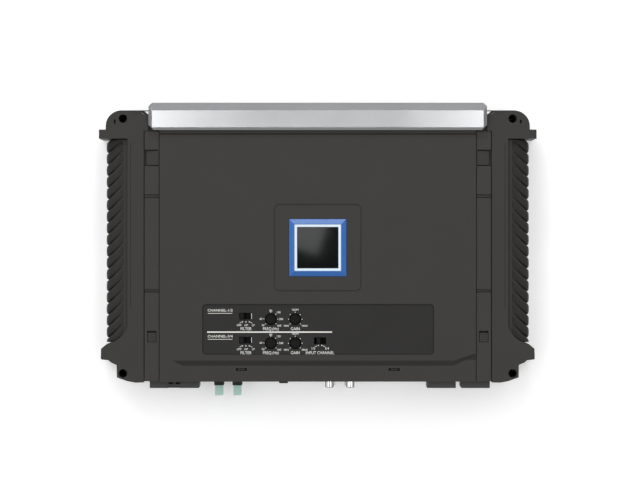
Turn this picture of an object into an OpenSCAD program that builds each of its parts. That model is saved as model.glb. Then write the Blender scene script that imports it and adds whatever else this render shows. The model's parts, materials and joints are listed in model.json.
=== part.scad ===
// Four-channel car amplifier: an extruded case with ribbed sides, a cover, controls and connectors.
// +X right, +Y towards the bright trim bar, +Z up. The origin is the centre of the four
// mounting holes, on the plane that the amplifier is bolted down on. All sizes in millimetres.

/* [Case] */
// Overall width, over the corner lugs
case_w = 292; // [280:1:360]
// Depth of the end caps, front to back
case_d = 181; // [165:1:230]
// Overall height, to the top of the trim bar
case_h = 60; // [54:1:80]
// Distance from a lug's tip to a mounting hole
hole_inset_x = 16; // [16:0.5:18]
// Distance from an end cap's end to a mounting hole
hole_inset_y = 5.5; // [5:0.5:7.5]
// Diameter of the mounting holes
mount_hole_d = 5.6; // [4.5:0.1:6]
// Wall of the extruded case
wall_t = 4; // [3:0.1:5]
// Reach of a lug past the cap
lug_reach = 4.5; // [3:0.5:8]
// Depth of the ribbed side
fin_w = 14.5; // [11:0.5:18]
// Spacing of the ribs
rib_pitch = 7.73; // [6:0.01:11]
// Width of the slots between ribs
rib_gap = 1.3; // [1:0.1:2]
// Width of an end cap's rail
rail_w = 10.9; // [9:0.1:14]
// Width of a side strip
strip_w = 9.8; // [8:0.1:12]

/* [Cover] */
// Thickness of the cover plate
cover_t = 3.2; // [2.4:0.1:4]
// Drop from the cover's top to the front lip
lip_drop = 1.6; // [1:0.1:2.5]
// Depth of the front lip, back to the crease
lip_d = 10.7; // [9:0.1:14]
// Width of the control panel
panel_w = 154.4; // [140:0.1:170]
// Depth of the control panel
panel_d = 33.7; // [33:0.1:36]
// Side of the badge's square bezel
badge_s = 38.2; // [34:0.1:46]
// Height of the trim bar above the cover
bar_rise = 5; // [3:0.1:7]
// Depth of the trim bar
bar_d = 18.3; // [16:0.1:24]

/* [Controls] */
// Diameter of the control knobs
knob_d = 7.3; // [6:0.1:8.8]
// Gap round each knob
knob_gap = 0.35; // [0.3:0.05:0.6]
// Diameter of the knob shafts
shaft_d = 3; // [2.4:0.1:3.6]
// Radial running clearance of the shafts
shaft_clear = 0.06; // [0.03:0.01:0.1]
// Travel of the filter sliders, over three positions
filter_travel = 4.6; // [3:0.1:5]
// Travel of the input slider, over two positions
input_travel = 2.2; // [1.5:0.1:3]
// Press travel of the strip latches
latch_travel = 1.5; // [1:0.1:2]

/* [Connectors] */
// Outside diameter of a phono jack's shell
rca_d = 8.3; // [8:0.1:8.6]
// Spacing of the phono jacks, both ways
rca_pitch = 14; // [13:0.1:15]
// Thickness of a blade fuse
fuse_t = 5.1; // [4.5:0.1:6.5]
// Width of a blade fuse
fuse_w = 19.1; // [16:0.1:23]
// Distance between the two fuses
fuse_pitch = 12.3; // [11:0.1:15]
// Width of the power terminal block
power_w = 33; // [28:0.5:36]
// Width of one speaker terminal block
speaker_w = 19.2; // [18:0.1:21]

/* [Hidden] */
$fn = 48;
eps = 0.01;
cut = 1;
left = -1;
right = 1;

// Plan places
half_w = case_w / 2;
side_x = half_w - lug_reach;
rail_x = side_x - fin_w;
inner_x = rail_x - rail_w;
seam = 0.5;
strip_out = inner_x - seam;
strip_in = strip_out - strip_w;
cover_gap = 0.3;
cover_x = strip_in - cover_gap;
back_y = case_d / 2;
front_y = -back_y;
hole_x = half_w - hole_inset_x;
hole_y = back_y - hole_inset_y;
mount_r = mount_hole_d / 2;

// Heights
foot_gap = 3;
floor_t = 4;
floor_z = foot_gap + floor_t;
cover_z = case_h - bar_rise;
cap_z = cover_z - 2;
cap_t = 3.2;
flange_t = 3.5;
flange_z = cap_z - cap_t - cover_gap;
strip_z = cover_z - 1;
lip_z = cover_z - lip_drop;
lip_t = 3;
board_gap = 6;
board_t = 1.6;
board_z = floor_z + board_gap;
deck_z = board_z + board_t;

// Case and its end panels
chassis_front = front_y + 7.5;
chassis_back = back_y - 4.5;
panel_t = 2;
panel_front = chassis_front - panel_t;
panel_side = inner_x - seam;
wall_in = inner_x - wall_t;
boss_s = 7;
boss_h = 5.5;
screw_r = 1.4;
screw_clear = 0.1;
tap_r = screw_r + screw_clear;
head_r = 2.8;
small_head_r = 2.4;
ear_head_h = 1.4;
head_h = 1.8;
socket_deep = 0.8;
panel_screw_len = 12;
vent_n = 6;
vent_pitch = 14;
vent_w = 10;
vent_h = 3.5;
vent_z = flange_z - 18;
groove_n = 9;
groove_w = 2;

// Ribbed sides
cap_back_len = 18.8;
fin_back = back_y - cap_back_len - 0.5;
fin_front = front_y + 29.5;
fin_low = floor_z - 2;
fin_high = flange_z - 0.2;
scallop_r = 8.5;
rib_angle = 40;
rib_root = rail_x + 4;
rib_tip = side_x - 2.6;
fin_slope = 8;

// End caps
corner_r = 10.5;
lug_w = 6;
lug_back = back_y - cap_back_len;
lug_front = front_y + 14.7;
sweep_r = 18.3;
sweep_x = rail_x + 17.2;
sweep_y = front_y + 43;
sweep_from = 200;
sweep_to = 260;
sweep_end_y = sweep_y + sweep_r * sin(sweep_to);
crescent = [6.1, 7.7];
crescent_r = 0.8;
rail_line_x = 1.9;
rail_line_w = 0.5;
pad_x = 4.7;
pad_y = 0.9;
pad_w = 4.6;
pad_d = 1.4;
pad_h = 0.5;
post_gap = 0.3;
post_in = inner_x + post_gap;
post_wall = 2.5;
sleeve_wall = 0.7;
sleeve_r = mount_r + sleeve_wall;
sleeve_fit = 0.05;
sleeve_top = cap_z - 5;
post_boss_r = sleeve_r + 2;
tongue_len = 14;
tongue_w = 8;
foot_sink = 1.2;
foot_head_h = 1;
tongue_x = post_in - tongue_len;
tongue_y = [front_y + 12.5, back_y - 12.5];

// Cover
cover_back = back_y - 16.2;
ledge_back = chassis_back + panel_t;
ledge_z = cover_z - 0.5;
ledge_line_w = 0.8;
ledge_line_z = cover_z - 2.5;
crease_run = 3.4;
lip_end_x = cover_x - 8.8;
lip_flat_x = cover_x - 15.1;
lip_curve = [[cover_x - 6.6, front_y + 14.6], [cover_x - 1.3, front_y + 18.7]];
skirt_t = 2.2;
skirt_low = flange_z - flange_t;
plate_low = cover_z - cover_t;
panel_r = 2.7;
panel_cx = 0.3;
panel_back = front_y + 51.8;
panel_cy = panel_back - panel_d / 2;
panel_sink = 2;
plate_t = 1;
plate_fit = 0.2;
snap_x = 51;
snap_w = 7.3;
snap_d = 1.7;
snap_y = front_y + 8.1;
snap_root = 4;
snap_tongue_t = 0.9;
snap_tongue_w = 5.2;
ear_w = 8;
ear_t = 1.2;
ear_reach = 7.4;
ear_x = cover_x + 5.2;
ear_y = [back_y - 20, 5, front_y + 42.5];

// Badge
badge_y = -1.1;
badge_sink = 2;
badge_proud = 1.4;
bezel_w = 3.5;
bezel_foot = 0.3;
bezel_rim = 0.3;
frame_s = badge_s - 2 * bezel_w - 0.2;
frame_w = 1.8;
window_s = frame_s - 2 * frame_w;
groove_s = 58.4;
groove_line = 0.9;
groove_deep = 0.7;

// Controls
row_y = [panel_back - 10.1, panel_back - 26.1];
freq_x = -31.3;
gain_x = -15;
filter_x = -48.3;
input_x = 1.55;
input_y = panel_back - 24.5;
knob_r = knob_d / 2;
shaft_r = shaft_d / 2;
knob_low = plate_low - 1.3;
knob_top = cover_z - 0.1;
knob_slot_w = 1;
knob_slot_deep = 1;
knob_slot_end = 0.8;
pot_floor = 0.8;
end_play = 0.1;
ctl_t = 1.6;
ctl_z = cover_z - 13.4 - ctl_t;
pot_s = 9.5;
pot_h = 4.9;
pot_z = ctl_z + ctl_t;
slot_w = 8;
slot_d = 4.5;
slider_w = 2.6;
slider_d = 3.9;
slider_foot = 1.2;
slider_low = 1.2;
slider_foot_h = 1.4;
slider_top = cover_z - 0.2;
switch_h = 6.4;
switch_w = 12;
switch_d = 6.6;
switch_wall = 0.8;
switch_gap = 0.3;
ctl_x = [-60, 12];
ctl_y = [front_y + 18.5, panel_back - 1.3];

// Strips and latches
strip_back = back_y - 14;
strip_front = front_y + 0.3;
strip_t = 1.2;
strip_solid = 4;
strip_line = 0.6;
strip_line_deep = 0.8;
grip_deep = 2.4;
grip_notch = 1.2;
grip_y = [back_y - 37.2, back_y - 26.3];
latch_y = front_y + 29.65;
latch_w = 5.5;
latch_d = 6;
latch_gap = 0.25;
latch_slot = 1.2;
latch_ridge = 1.6;
latch_line = 0.5;
latch_line_deep = 0.25;
latch_x = (strip_in + strip_out) / 2;
latch_floor = 0.5;
latch_low = flange_z - flange_t + latch_floor + latch_travel + 0.3;
latch_top = strip_z + 0.1;
latch_lip = 0.7;

// Trim bar
bar_x = inner_x - 3.4;
bar_front = back_y - 13.3;
bar_back = bar_front + bar_d;
bar_t = 1.6;
bar_tail = 6;
bar_tail_gap = 4;
bar_front_cut = [1.8, 1.2];
bar_back_cut = [5.3, 3.6];
bar_end_cut = [2.4, 1.5];
bar_corner = 3.5;
bar_rear_corner = 2.3;
bar_boss_y = ledge_back - 4.5;
bar_boss_x = 80;
bar_boss_r = 3.6;

// Connectors
tab_len = 10.1;
tab_top = skirt_low - 0.5;
block_low = floor_z + boss_h + 0.5;
tail_in = 8;
tail_side = 3.8;
block_fit = 0.2;
power_left = -(inner_x - 3.6);
power_cx = power_left + power_w / 2;
middle_w = 7.7;
divider_t = 1.6;
hood_t = 3;
plate_brass = 1;
bay_deep = 7;
bay_head_r = 2.9;
hood_back = 1.4;
sight_x = 2.3;
sight_y = 6.8;
sight_w = 2.8;
speaker_right = inner_x - 0.9;
speaker_gap = 3.6;
speaker_cx = [speaker_right - speaker_w * 1.5 - speaker_gap, speaker_right - speaker_w / 2];
fuse_first = power_left + 46.1;
fuse_x = [fuse_first, fuse_first + fuse_pitch];
fuse_z = foot_gap + 24;
fuse_body = 11.8;
fuse_back = panel_front - 3.6;
fuse_fit = 0.15;
socket_wall = 0.5;
socket_out = 8.6;
blade_w = 5;
blade_t = 0.7;
blade_len = 7;
blade_off = 5.5;
blade_root = 5;
holder_back = panel_front + 15;
rca_cx = 14.8;
rca_x = [rca_cx - rca_pitch / 2, rca_cx + rca_pitch / 2];
rca_z = [board_z + 7.5, board_z + 7.5 + rca_pitch];
rca_r = rca_d / 2;
rca_wall = 0.5;
rca_len = 10.3;
rca_bore = 1.65;
rca_deep = 7;
housing_d = 10;
housing_top = 6;
jack_x = -23.1;
jack_z = fuse_z;
jack_r = 3;
jack_bore = 1.8;
jack_nose = 7.5;
jack_deep = 12.5;
jack_s = 10;
jack_tail = 9;

// Inside
board_x = wall_in - 1;
board_front = chassis_front + 0.5;
board_back = chassis_back - 4;
stand_x = board_x - 12;
stand_y = [board_front + 20, 0, board_back - 12];
stand_r = 3.5;
core_x = -62;
core_y = 22;
core_r = 20;
core_wall = 6;
core_h = 16;
wind_t = 3;
can_r = 9;
can_h = 30;
can_rim = 0.6;
can_neck = 2;
can_x = [-22, 0];
can_y = [12, 36];
coil_x = [48, 74];
coil_y = [-30, -6, 18, 42];
coil_r = 9;
coil_hole = 4;
coil_h = 11;
fet_n = 6;
fet_w = 15.5;
fet_t = 4.8;
fet_h = 20;
fet_pitch = 19;
leg_pitch = 5;
leg_t = 0.8;
leg_w = 1.2;
fet_z = deck_z + 3;
clamp_t = 2;
link_x = [-40, -8];
link_w = 18;
link_d = 5;
clamp_w = 8;

// A box between two corners
module span(a, b) {
  translate(a) cube(b - a);
}

// A rounded rectangle centred on the origin
module rounded(w, d, r) {
  square([w - 2 * r, d], center = true);
  square([w, d - 2 * r], center = true);
  for (x = [-1, 1], y = [-1, 1]) translate([x * (w / 2 - r), y * (d / 2 - r)]) circle(r);
}

// A square block whose top is smaller all round than its foot
module frustum(s, h, inset) {
  intersection_for(turn = [0, 90])
    rotate([90, 0, turn]) translate([0, 0, -s / 2])
      linear_extrude(s) polygon([[-s / 2, 0], [s / 2, 0], [s / 2 - inset, h], [inset - s / 2, h]]);
}

// A profile drawn in Y and Z, drawn out along X
module along_x(from, to) {
  translate([from, 0, 0]) rotate([90, 0, 90]) linear_extrude(to - from) children();
}

// A profile drawn in X and Z, drawn out along Y
module along_y(from, to) {
  translate([0, to, 0]) rotate([90, 0, 0]) linear_extrude(to - from) children();
}

module on_side(s) {
  if (s == left) mirror([1, 0, 0]) children();
  else children();
}

// A screw that points down, with the underside of its head at the origin
module screw(length, r = screw_r, hr = head_r, hh = head_h) {
  translate([0, 0, -length]) cylinder(r = r, h = length + eps);
  difference() {
    cylinder(r = hr, h = hh);
    translate([0, 0, hh - socket_deep]) cylinder(r = hr / 2, h = cut, $fn = 6);
  }
}

// --- Case ---------------------------------------------------------------

module chassis() {
  flange_in = strip_in;
  color("dimgray") difference() {
    along_y(chassis_front, chassis_back) difference() {
      union() {
        translate([-inner_x, foot_gap]) square([2 * inner_x, floor_t]);
        for (s = [left, right]) scale([s, 1]) {
          translate([wall_in, foot_gap]) square([wall_t, flange_z - foot_gap]);
          translate([flange_in, flange_z - flange_t])
            square([inner_x - flange_in, flange_t]);
          translate([wall_in - boss_s, floor_z - eps]) square([boss_s + eps, boss_h]);
        }
      }
      for (i = [0:groove_n - 1])
        translate([(i - (groove_n - 1) / 2) * 2 * wall_in / (groove_n + 1) - groove_w / 2, 0])
          square([groove_w, foot_gap + 1]);
    }
    for (s = [left, right]) {
      for (y = ear_y) translate([s * ear_x, y, flange_z - flange_t - 1])
        cylinder(r = tap_r, h = flange_t + 2);
      for (y = tongue_y) translate([s * (tongue_x + tongue_w / 2), y, 0])
        cylinder(r = tap_r, h = floor_z + 1);
      for (p = panel_screw_places()) translate([s * p[0], chassis_front - 1, p[1]])
        rotate([-90, 0, 0]) cylinder(r = tap_r, h = chassis_back - chassis_front + 2);
      on_side(s) span([latch_x - latch_w / 2 - latch_gap, latch_y - latch_d / 2 - latch_gap,
        flange_z - flange_t + latch_floor], [latch_x + latch_w / 2 + latch_gap,
        latch_y + latch_d / 2 + latch_gap, flange_z + 1]);
      for (i = [0:fet_n]) translate([s * (wall_in - 1), fet_y(i) - fet_pitch / 2, clamp_z()])
        rotate([0, s * 90, 0]) cylinder(r = tap_r, h = wall_t);
    }
    for (x = [-stand_x, stand_x], y = stand_y) translate([x, y, foot_gap + 1])
      cylinder(r = tap_r, h = floor_t);
  }
}

function panel_screw_places() = [[wall_in - boss_s / 2, floor_z + boss_h / 2]];
function fet_y(i) = (i - (fet_n - 1) / 2) * fet_pitch;
function clamp_z() = fet_z + fet_h - clamp_w / 2 - 1;

module fin_block(s) {
  rib_n = floor((fin_back - fin_front) / rib_pitch);
  first = (fin_back + fin_front - (rib_n - 1) * rib_pitch) / 2;
  color("#32302d") on_side(s) intersection() {
    translate([0, 0, fin_low]) linear_extrude(fin_high - fin_low) difference() {
      intersection() {
        union() {
          translate([inner_x, fin_front]) square([side_x - inner_x - 1, fin_back - fin_front]);
          for (i = [0:rib_n - 1])
            translate([side_x - scallop_r, first + i * rib_pitch]) circle(scallop_r);
        }
        polygon([[inner_x, fin_front], [rail_x + 4.5, fin_front], [side_x + 1, fin_front - 7],
          [side_x + 1, fin_back], [inner_x, fin_back]]);
      }
      for (i = [0:rib_n - 1]) translate([rib_root, first + i * rib_pitch + rib_pitch / 2])
        rotate(-rib_angle) square([(rib_tip - rib_root) / cos(rib_angle), rib_gap]);
    }
    along_y(fin_front - 10, fin_back + 10) polygon([[inner_x, fin_low], [side_x + 1, fin_low],
      [side_x + 1, fin_high - fin_slope], [rail_x + 3, fin_high], [inner_x, fin_high]]);
  }
}

function arc(cx, cy, r, from, to, n = 10) =
  [for (i = [0:n]) let(a = from + (to - from) * i / n) [cx + r * cos(a), cy + r * sin(a)]];

// The outline of one end cap's top, for the right-hand side
function cap_outline() = concat(
  [[inner_x, front_y - 0.5], [inner_x, bar_front - 0.4], [inner_x - 3.1, bar_front - 0.4],
    [inner_x - 3.1, back_y]],
  arc(side_x - corner_r, back_y - corner_r, corner_r, 90, 0),
  [[side_x, lug_back + lug_w], [half_w, lug_back + lug_w], [half_w, lug_back],
    [rail_x, lug_back]],
  arc(sweep_x, sweep_y, sweep_r, sweep_from, sweep_to),
  [[half_w - 1.4, sweep_end_y - 3], [half_w - 1.2, lug_front + 0.6], [half_w - 2, lug_front],
    [side_x - 1.8, lug_front - 0.4], [side_x - 3.5, lug_front - 1.9],
    [side_x - 7.3, lug_front - 3.6], [side_x - 7.5, front_y + 2.8], [rail_x, front_y + 0.3],
    [inner_x + 5.4, front_y - 0.7]]);

// The stretch of the outline that a post stands under, back or front
module post_plan(back) {
  intersection() {
    polygon(cap_outline());
    if (back) translate([post_in, lug_back]) square([lug_reach + side_x - post_in, cap_back_len]);
    else translate([post_in, front_y - 1]) square([lug_reach + side_x - post_in,
      sweep_end_y - front_y + 1]);
  }
}

module post_pocket(back) {
  in = post_in + post_wall;
  out = side_x - post_wall;
  if (back) polygon([[in, lug_back + post_wall], [out, lug_back + post_wall],
    [out, back_y - corner_r + 0.5], [side_x - corner_r + 3.5, back_y - post_wall],
    [in, back_y - post_wall]]);
  else polygon([[in, front_y + post_wall], [side_x - 7.5 - post_wall, front_y + post_wall + 2],
    [side_x - 7.5 - post_wall, lug_front - 1], [out, lug_front + post_wall],
    [out, sweep_end_y - post_wall], [in, sweep_end_y - post_wall]]);
}

module end_cap(s) {
  color("#42403d") on_side(s) difference() {
    union() {
      translate([0, 0, cap_z - cap_t]) linear_extrude(cap_t) polygon(cap_outline());
      for (back = [true, false]) difference() {
        linear_extrude(cap_z - cap_t + eps) post_plan(back);
        translate([0, 0, -1]) linear_extrude(cap_z - cap_t + 1 - 1.5) post_pocket(back);
      }
      for (y = [hole_y, -hole_y]) translate([hole_x, y, 0]) intersection() {
        cylinder(r = post_boss_r, h = cap_z - 1);
        linear_extrude(cap_z) translate([-hole_x, -y]) post_plan(y > 0);
      }
      for (y = tongue_y)
        span([tongue_x, y - tongue_w / 2, 0], [post_in + 1, y + tongue_w / 2, foot_gap]);
      // a small raised pad at the back edge, by the trim bar
      translate([inner_x + pad_x, back_y - pad_y, cap_z - eps]) linear_extrude(pad_h)
        square([pad_w, pad_d], center = true);
    }
    for (y = [hole_y, -hole_y]) translate([hole_x, y, -1]) {
      cylinder(r = mount_r, h = cap_z + 2);
      cylinder(r = sleeve_r + sleeve_fit, h = sleeve_top + 1);
    }
    for (y = tongue_y) translate([tongue_x + tongue_w / 2, y, -1]) {
      cylinder(r = tap_r, h = foot_gap + 2);
      cylinder(r = head_r + screw_clear, h = cut + foot_sink);
    }
    // the see-through notch by the trim bar, and the crescent in the corner
    span([inner_x - 4, back_y - 2.4, -cut], [inner_x + 1.4, back_y - 0.6, cap_z + cut]);
    translate([side_x - crescent[0], back_y - crescent[1], -cut])
      scale([1, 2, 1]) cylinder(r = crescent_r, h = cap_z + 2 * cut);
    // a shallow step along the ribbed side
    span([rail_x - rail_line_x - rail_line_w, sweep_y + 6, cap_z - 0.5],
      [rail_x - rail_line_x, lug_back - 3, cap_z + cut]);
  }
}

module end_cap_screws() {
  color("silver") for (s = [left, right], y = tongue_y)
    translate([s * (tongue_x + tongue_w / 2), y, foot_sink]) rotate([180, 0, 0])
      screw(floor_z - foot_sink - 0.2, hh = foot_head_h);
}

module mounting_sleeves() {
  color("silver") for (x = [-hole_x, hole_x], y = [-hole_y, hole_y]) translate([x, y, 0])
    difference() {
      cylinder(r = sleeve_r, h = sleeve_top);
      translate([0, 0, -1]) cylinder(r = mount_r, h = sleeve_top + 2);
    }
}

module panel_holes(y) {
  for (s = [left, right], p = panel_screw_places()) translate([s * p[0], y - 1, p[1]])
    rotate([-90, 0, 0]) cylinder(r = tap_r, h = panel_t + 2);
}

module rear_panel() {
  color("#3a3836") difference() {
    span([-panel_side, chassis_back, foot_gap], [panel_side, ledge_back, flange_z]);
    panel_holes(chassis_back);
    // a row of cooling slots
    for (i = [-vent_n:vent_n]) translate([i * vent_pitch, 0, vent_z])
      span([-vent_w / 2, chassis_back - cut, 0], [vent_w / 2, ledge_back + cut, vent_h]);
  }
}

module front_panel() {
  color("#3a3836") difference() {
    union() {
      span([-panel_side, panel_front, foot_gap], [panel_side, chassis_front, flange_z]);
      for (x = [-snap_x, snap_x]) translate([x - snap_tongue_w / 2, 0, flange_z - snap_root]) {
        span([0, snap_y - snap_tongue_t / 2, 0], [snap_tongue_w, snap_y + snap_tongue_t / 2,
          snap_root + lip_z - flange_z - snap_tongue_t]);
        span([0, chassis_front - eps, 0],
          [snap_tongue_w, snap_y + snap_tongue_t / 2 + eps, snap_root - cut]);
      }
    }
    panel_holes(panel_front);
    tail_window(power_cx, power_w);
    for (x = speaker_cx) tail_window(x, speaker_w);
    for (x = fuse_x) span([x - socket_half_t() - block_fit, panel_front - 1,
      fuse_z - socket_half_w() - block_fit], [x + socket_half_t() + block_fit,
      chassis_front + 1, fuse_z + socket_half_w() + block_fit]);
    for (x = rca_x, z = rca_z) translate([x, panel_front - 1, z]) rotate([-90, 0, 0])
      cylinder(r = rca_r - rca_wall, h = panel_t + 2);
    translate([jack_x, panel_front - 1, jack_z]) rotate([-90, 0, 0])
      cylinder(r = jack_r + block_fit, h = panel_t + 2);
  }
}

// The window in the front panel for a terminal block's tail
module tail_window(cx, w) {
  span([cx - w / 2 + tail_side, panel_front - 1, deck_z - 0.5],
    [cx + w / 2 - tail_side, chassis_front + 1, tab_top - 4]);
}

function socket_half_t() = fuse_t / 2 + fuse_fit + socket_wall;
function socket_half_w() = fuse_w / 2 + fuse_fit + socket_wall;

module panel_screws() {
  color("silver") for (s = [left, right], p = panel_screw_places()) {
    translate([s * p[0], panel_front, p[1]]) rotate([90, 0, 0]) screw(panel_screw_len);
    translate([s * p[0], ledge_back, p[1]]) rotate([-90, 0, 0]) screw(panel_screw_len);
  }
}

// --- Cover --------------------------------------------------------------

module top_cover() {
  color("#464440") difference() {
    union() {
      along_x(-cover_x, cover_x) polygon([
        [ledge_back, ledge_z], [cover_back + ledge_line_w, ledge_z],
        [cover_back + ledge_line_w, ledge_line_z], [cover_back, ledge_line_z],
        [cover_back, cover_z], [front_y, cover_z], [front_y, skirt_low],
        [front_y + panel_t, skirt_low], [front_y + panel_t, lip_z - lip_t],
        [front_y + lip_d + crease_run, lip_z - lip_t],
        [front_y + lip_d + crease_run + 2, plate_low], [cover_back - cover_t, plate_low],
        [cover_back - cover_t, ledge_z - cover_t], [ledge_back, ledge_z - cover_t]]);
      for (s = [left, right]) on_side(s) {
        span([cover_x - skirt_t, chassis_front + 1, skirt_low],
          [cover_x, cover_back, plate_low + eps]);
        for (y = ear_y) span([cover_x - eps, y - ear_w / 2, flange_z],
          [cover_x + ear_reach, y + ear_w / 2, flange_z + ear_t]);
      }
    }
    for (s = [left, right], y = ear_y) translate([s * ear_x, y, flange_z - 1])
      cylinder(r = tap_r, h = ear_t + 2);
    lip_recess();
    // the control panel's seat, and the window under it
    translate([panel_cx, panel_cy, cover_z - panel_sink]) linear_extrude(panel_sink + 1)
      rounded(panel_w, panel_d, panel_r);
    span([ctl_x[0] + 3, ctl_y[0] + 2, plate_low - 1], [ctl_x[1] - 2, ctl_y[1] - 2, cover_z]);
    // the badge's seat, the light's window and the line round them
    translate([0, badge_y, cover_z - badge_sink]) linear_extrude(badge_sink + 1)
      square(badge_s + 2 * plate_fit, center = true);
    translate([0, badge_y, plate_low - 1]) linear_extrude(cover_t + 1)
      square(window_s - 4, center = true);
    translate([0, badge_y, cover_z - groove_deep]) linear_extrude(1) difference() {
      rounded(groove_s, groove_s, panel_r + groove_line);
      rounded(groove_s - 2 * groove_line, groove_s - 2 * groove_line, panel_r);
    }
    for (x = [-snap_x, snap_x]) span([x - snap_w / 2, snap_y - snap_d / 2, lip_z - lip_t - 1],
      [x + snap_w / 2, snap_y + snap_d / 2, lip_z + 1]);
    for (x = [-bar_boss_x, bar_boss_x]) translate([x, bar_boss_y, ledge_z - cover_t - 1])
      cylinder(r = tap_r, h = cover_t + 2);
  }
}

// The lowered front lip: a wide recess that fades out at the left and curves up at the right
module lip_recess() {
  crease = front_y + lip_d;
  top = crease + crease_run;
  edge = cover_x + cut;
  hull() {
    linear_slice(cover_z) polygon([[-lip_end_x, top], [lip_flat_x, top], [lip_flat_x, front_y - cut],
      [-lip_end_x, front_y - cut]]);
    linear_slice(lip_z) polygon([[-lip_flat_x, crease], [lip_flat_x, crease],
      [lip_flat_x, front_y - cut], [-lip_flat_x, front_y - cut]]);
  }
  hull() {
    linear_slice(cover_z) polygon([[lip_flat_x - eps, top], lip_curve[1],
      [edge, lip_curve[1][1]], [edge, front_y - cut], [lip_flat_x - eps, front_y - cut]]);
    linear_slice(lip_z) polygon([[lip_flat_x - eps, crease], lip_curve[0], [edge, lip_curve[0][1]],
      [edge, front_y - cut], [lip_flat_x - eps, front_y - cut]]);
  }
}

module linear_slice(z) {
  translate([0, 0, z]) linear_extrude(eps) children();
}

module cover_screws() {
  color("silver") for (s = [left, right], y = ear_y)
    translate([s * ear_x, y, flange_z + ear_t]) screw(flange_t + ear_t - 0.5,
      hr = small_head_r, hh = ear_head_h);
}

module control_plate() {
  color("#34322f") translate([0, 0, cover_z - panel_sink]) linear_extrude(plate_t)
    difference() {
      translate([panel_cx, panel_cy])
        rounded(panel_w - 2 * plate_fit, panel_d - 2 * plate_fit, panel_r - plate_fit);
      for (x = [freq_x, gain_x], y = row_y) translate([x, y]) circle(knob_r + knob_gap);
      for (y = row_y) translate([filter_x, y + 2]) square([slot_w, slot_d], center = true);
      translate([input_x, input_y]) square([slot_w, slot_d], center = true);
    }
}

module badge_bezel() {
  color("#4076c0") translate([0, badge_y, cover_z - badge_sink]) difference() {
    union() {
      linear_extrude(badge_sink - bezel_foot + eps) square(badge_s, center = true);
      translate([0, 0, badge_sink - bezel_foot])
        frustum(badge_s, badge_proud + bezel_foot, bezel_w - bezel_rim);
    }
    translate([0, 0, -1]) linear_extrude(badge_sink + badge_proud + 2)
      square(frame_s + plate_fit, center = true);
  }
}

module badge_frame() {
  color("#e6f5ff") translate([0, badge_y, cover_z - badge_sink])
    linear_extrude(badge_sink + badge_proud - 0.6) difference() {
      square(frame_s, center = true);
      square(window_s + plate_fit, center = true);
    }
}

module badge_window() {
  color("#202323") translate([0, badge_y, cover_z - badge_sink])
    linear_extrude(badge_sink + badge_proud - 0.2) square(window_s, center = true);
}

module badge_light_board() {
  led_s = 3;
  color("darkgreen") translate([0, badge_y, plate_low - 1.8]) {
    linear_extrude(1.2) square(window_s + 6, center = true);
    for (x = [-1, 1], y = [-1, 1])
      translate([x * window_s / 4, y * window_s / 4, 1.2 - eps]) linear_extrude(1.6)
        square(led_s, center = true);
  }
}

module side_strip(s) {
  mid = (grip_y[0] + grip_y[1]) / 2;
  color("#484644") on_side(s) difference() {
    span([strip_in, strip_front, flange_z], [strip_out, strip_back, strip_z]);
    // hollow underneath, over the ears and the screw heads
    span([strip_in - cut, strip_front + strip_solid, flange_z - cut],
      [strip_out - strip_t, strip_back - strip_t, flange_z + ear_t + cover_gap]);
    for (y = [[strip_front + strip_solid, grip_y[0] - strip_t], [grip_y[1] + strip_t,
      strip_back - strip_t]]) span([strip_in + strip_t, y[0], flange_z - cut],
      [strip_out - strip_t, y[1], strip_z - strip_t]);
    // the finger grip, deepest at its outer side
    along_y(grip_y[0], grip_y[1]) polygon([[strip_in + strip_line, strip_z + eps],
      [strip_out + cut, strip_z + eps], [strip_out + cut, strip_z - grip_deep],
      [latch_x, strip_z - grip_deep * 0.55], [strip_in + strip_line, strip_z - grip_deep * 0.2]]);
    // a trench at each end of the grip, and a notch down its outer side
    for (y = [grip_y[0], grip_y[1] - strip_line]) span([strip_in + strip_line, y, strip_z - grip_deep],
      [strip_out + cut, y + strip_line, strip_z + cut]);
    span([strip_out - grip_notch, grip_y[0], flange_z - cut],
      [strip_out + cut, grip_y[1], strip_z + cut]);
    // two double lines across the strip
    for (y = [mid - 24.8, mid - 26.4, mid - 88, mid - 89.4]) if (y > strip_front + strip_solid)
      span([strip_in - cut, y - strip_line / 2, strip_z - strip_line_deep],
        [strip_out + cut, y + strip_line / 2, strip_z + cut]);
    span([latch_x - latch_w / 2 - latch_gap, latch_y - latch_d / 2 - latch_gap, flange_z - cut],
      [latch_x + latch_w / 2 + latch_gap, latch_y + latch_d / 2 + latch_slot, strip_z + cut]);
  }
}

module latch(s) {
  color("#3c3a38") on_side(s) difference() {
    span([latch_x - latch_w / 2, latch_y - latch_d / 2, latch_low],
      [latch_x + latch_w / 2, latch_y + latch_d / 2, latch_top]);
    for (i = [-1:1]) translate([latch_x, latch_y + i * latch_ridge, latch_top - latch_line_deep])
      linear_extrude(cut) square([latch_w - 2 * latch_lip, latch_line], center = true);
  }
}

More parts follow.
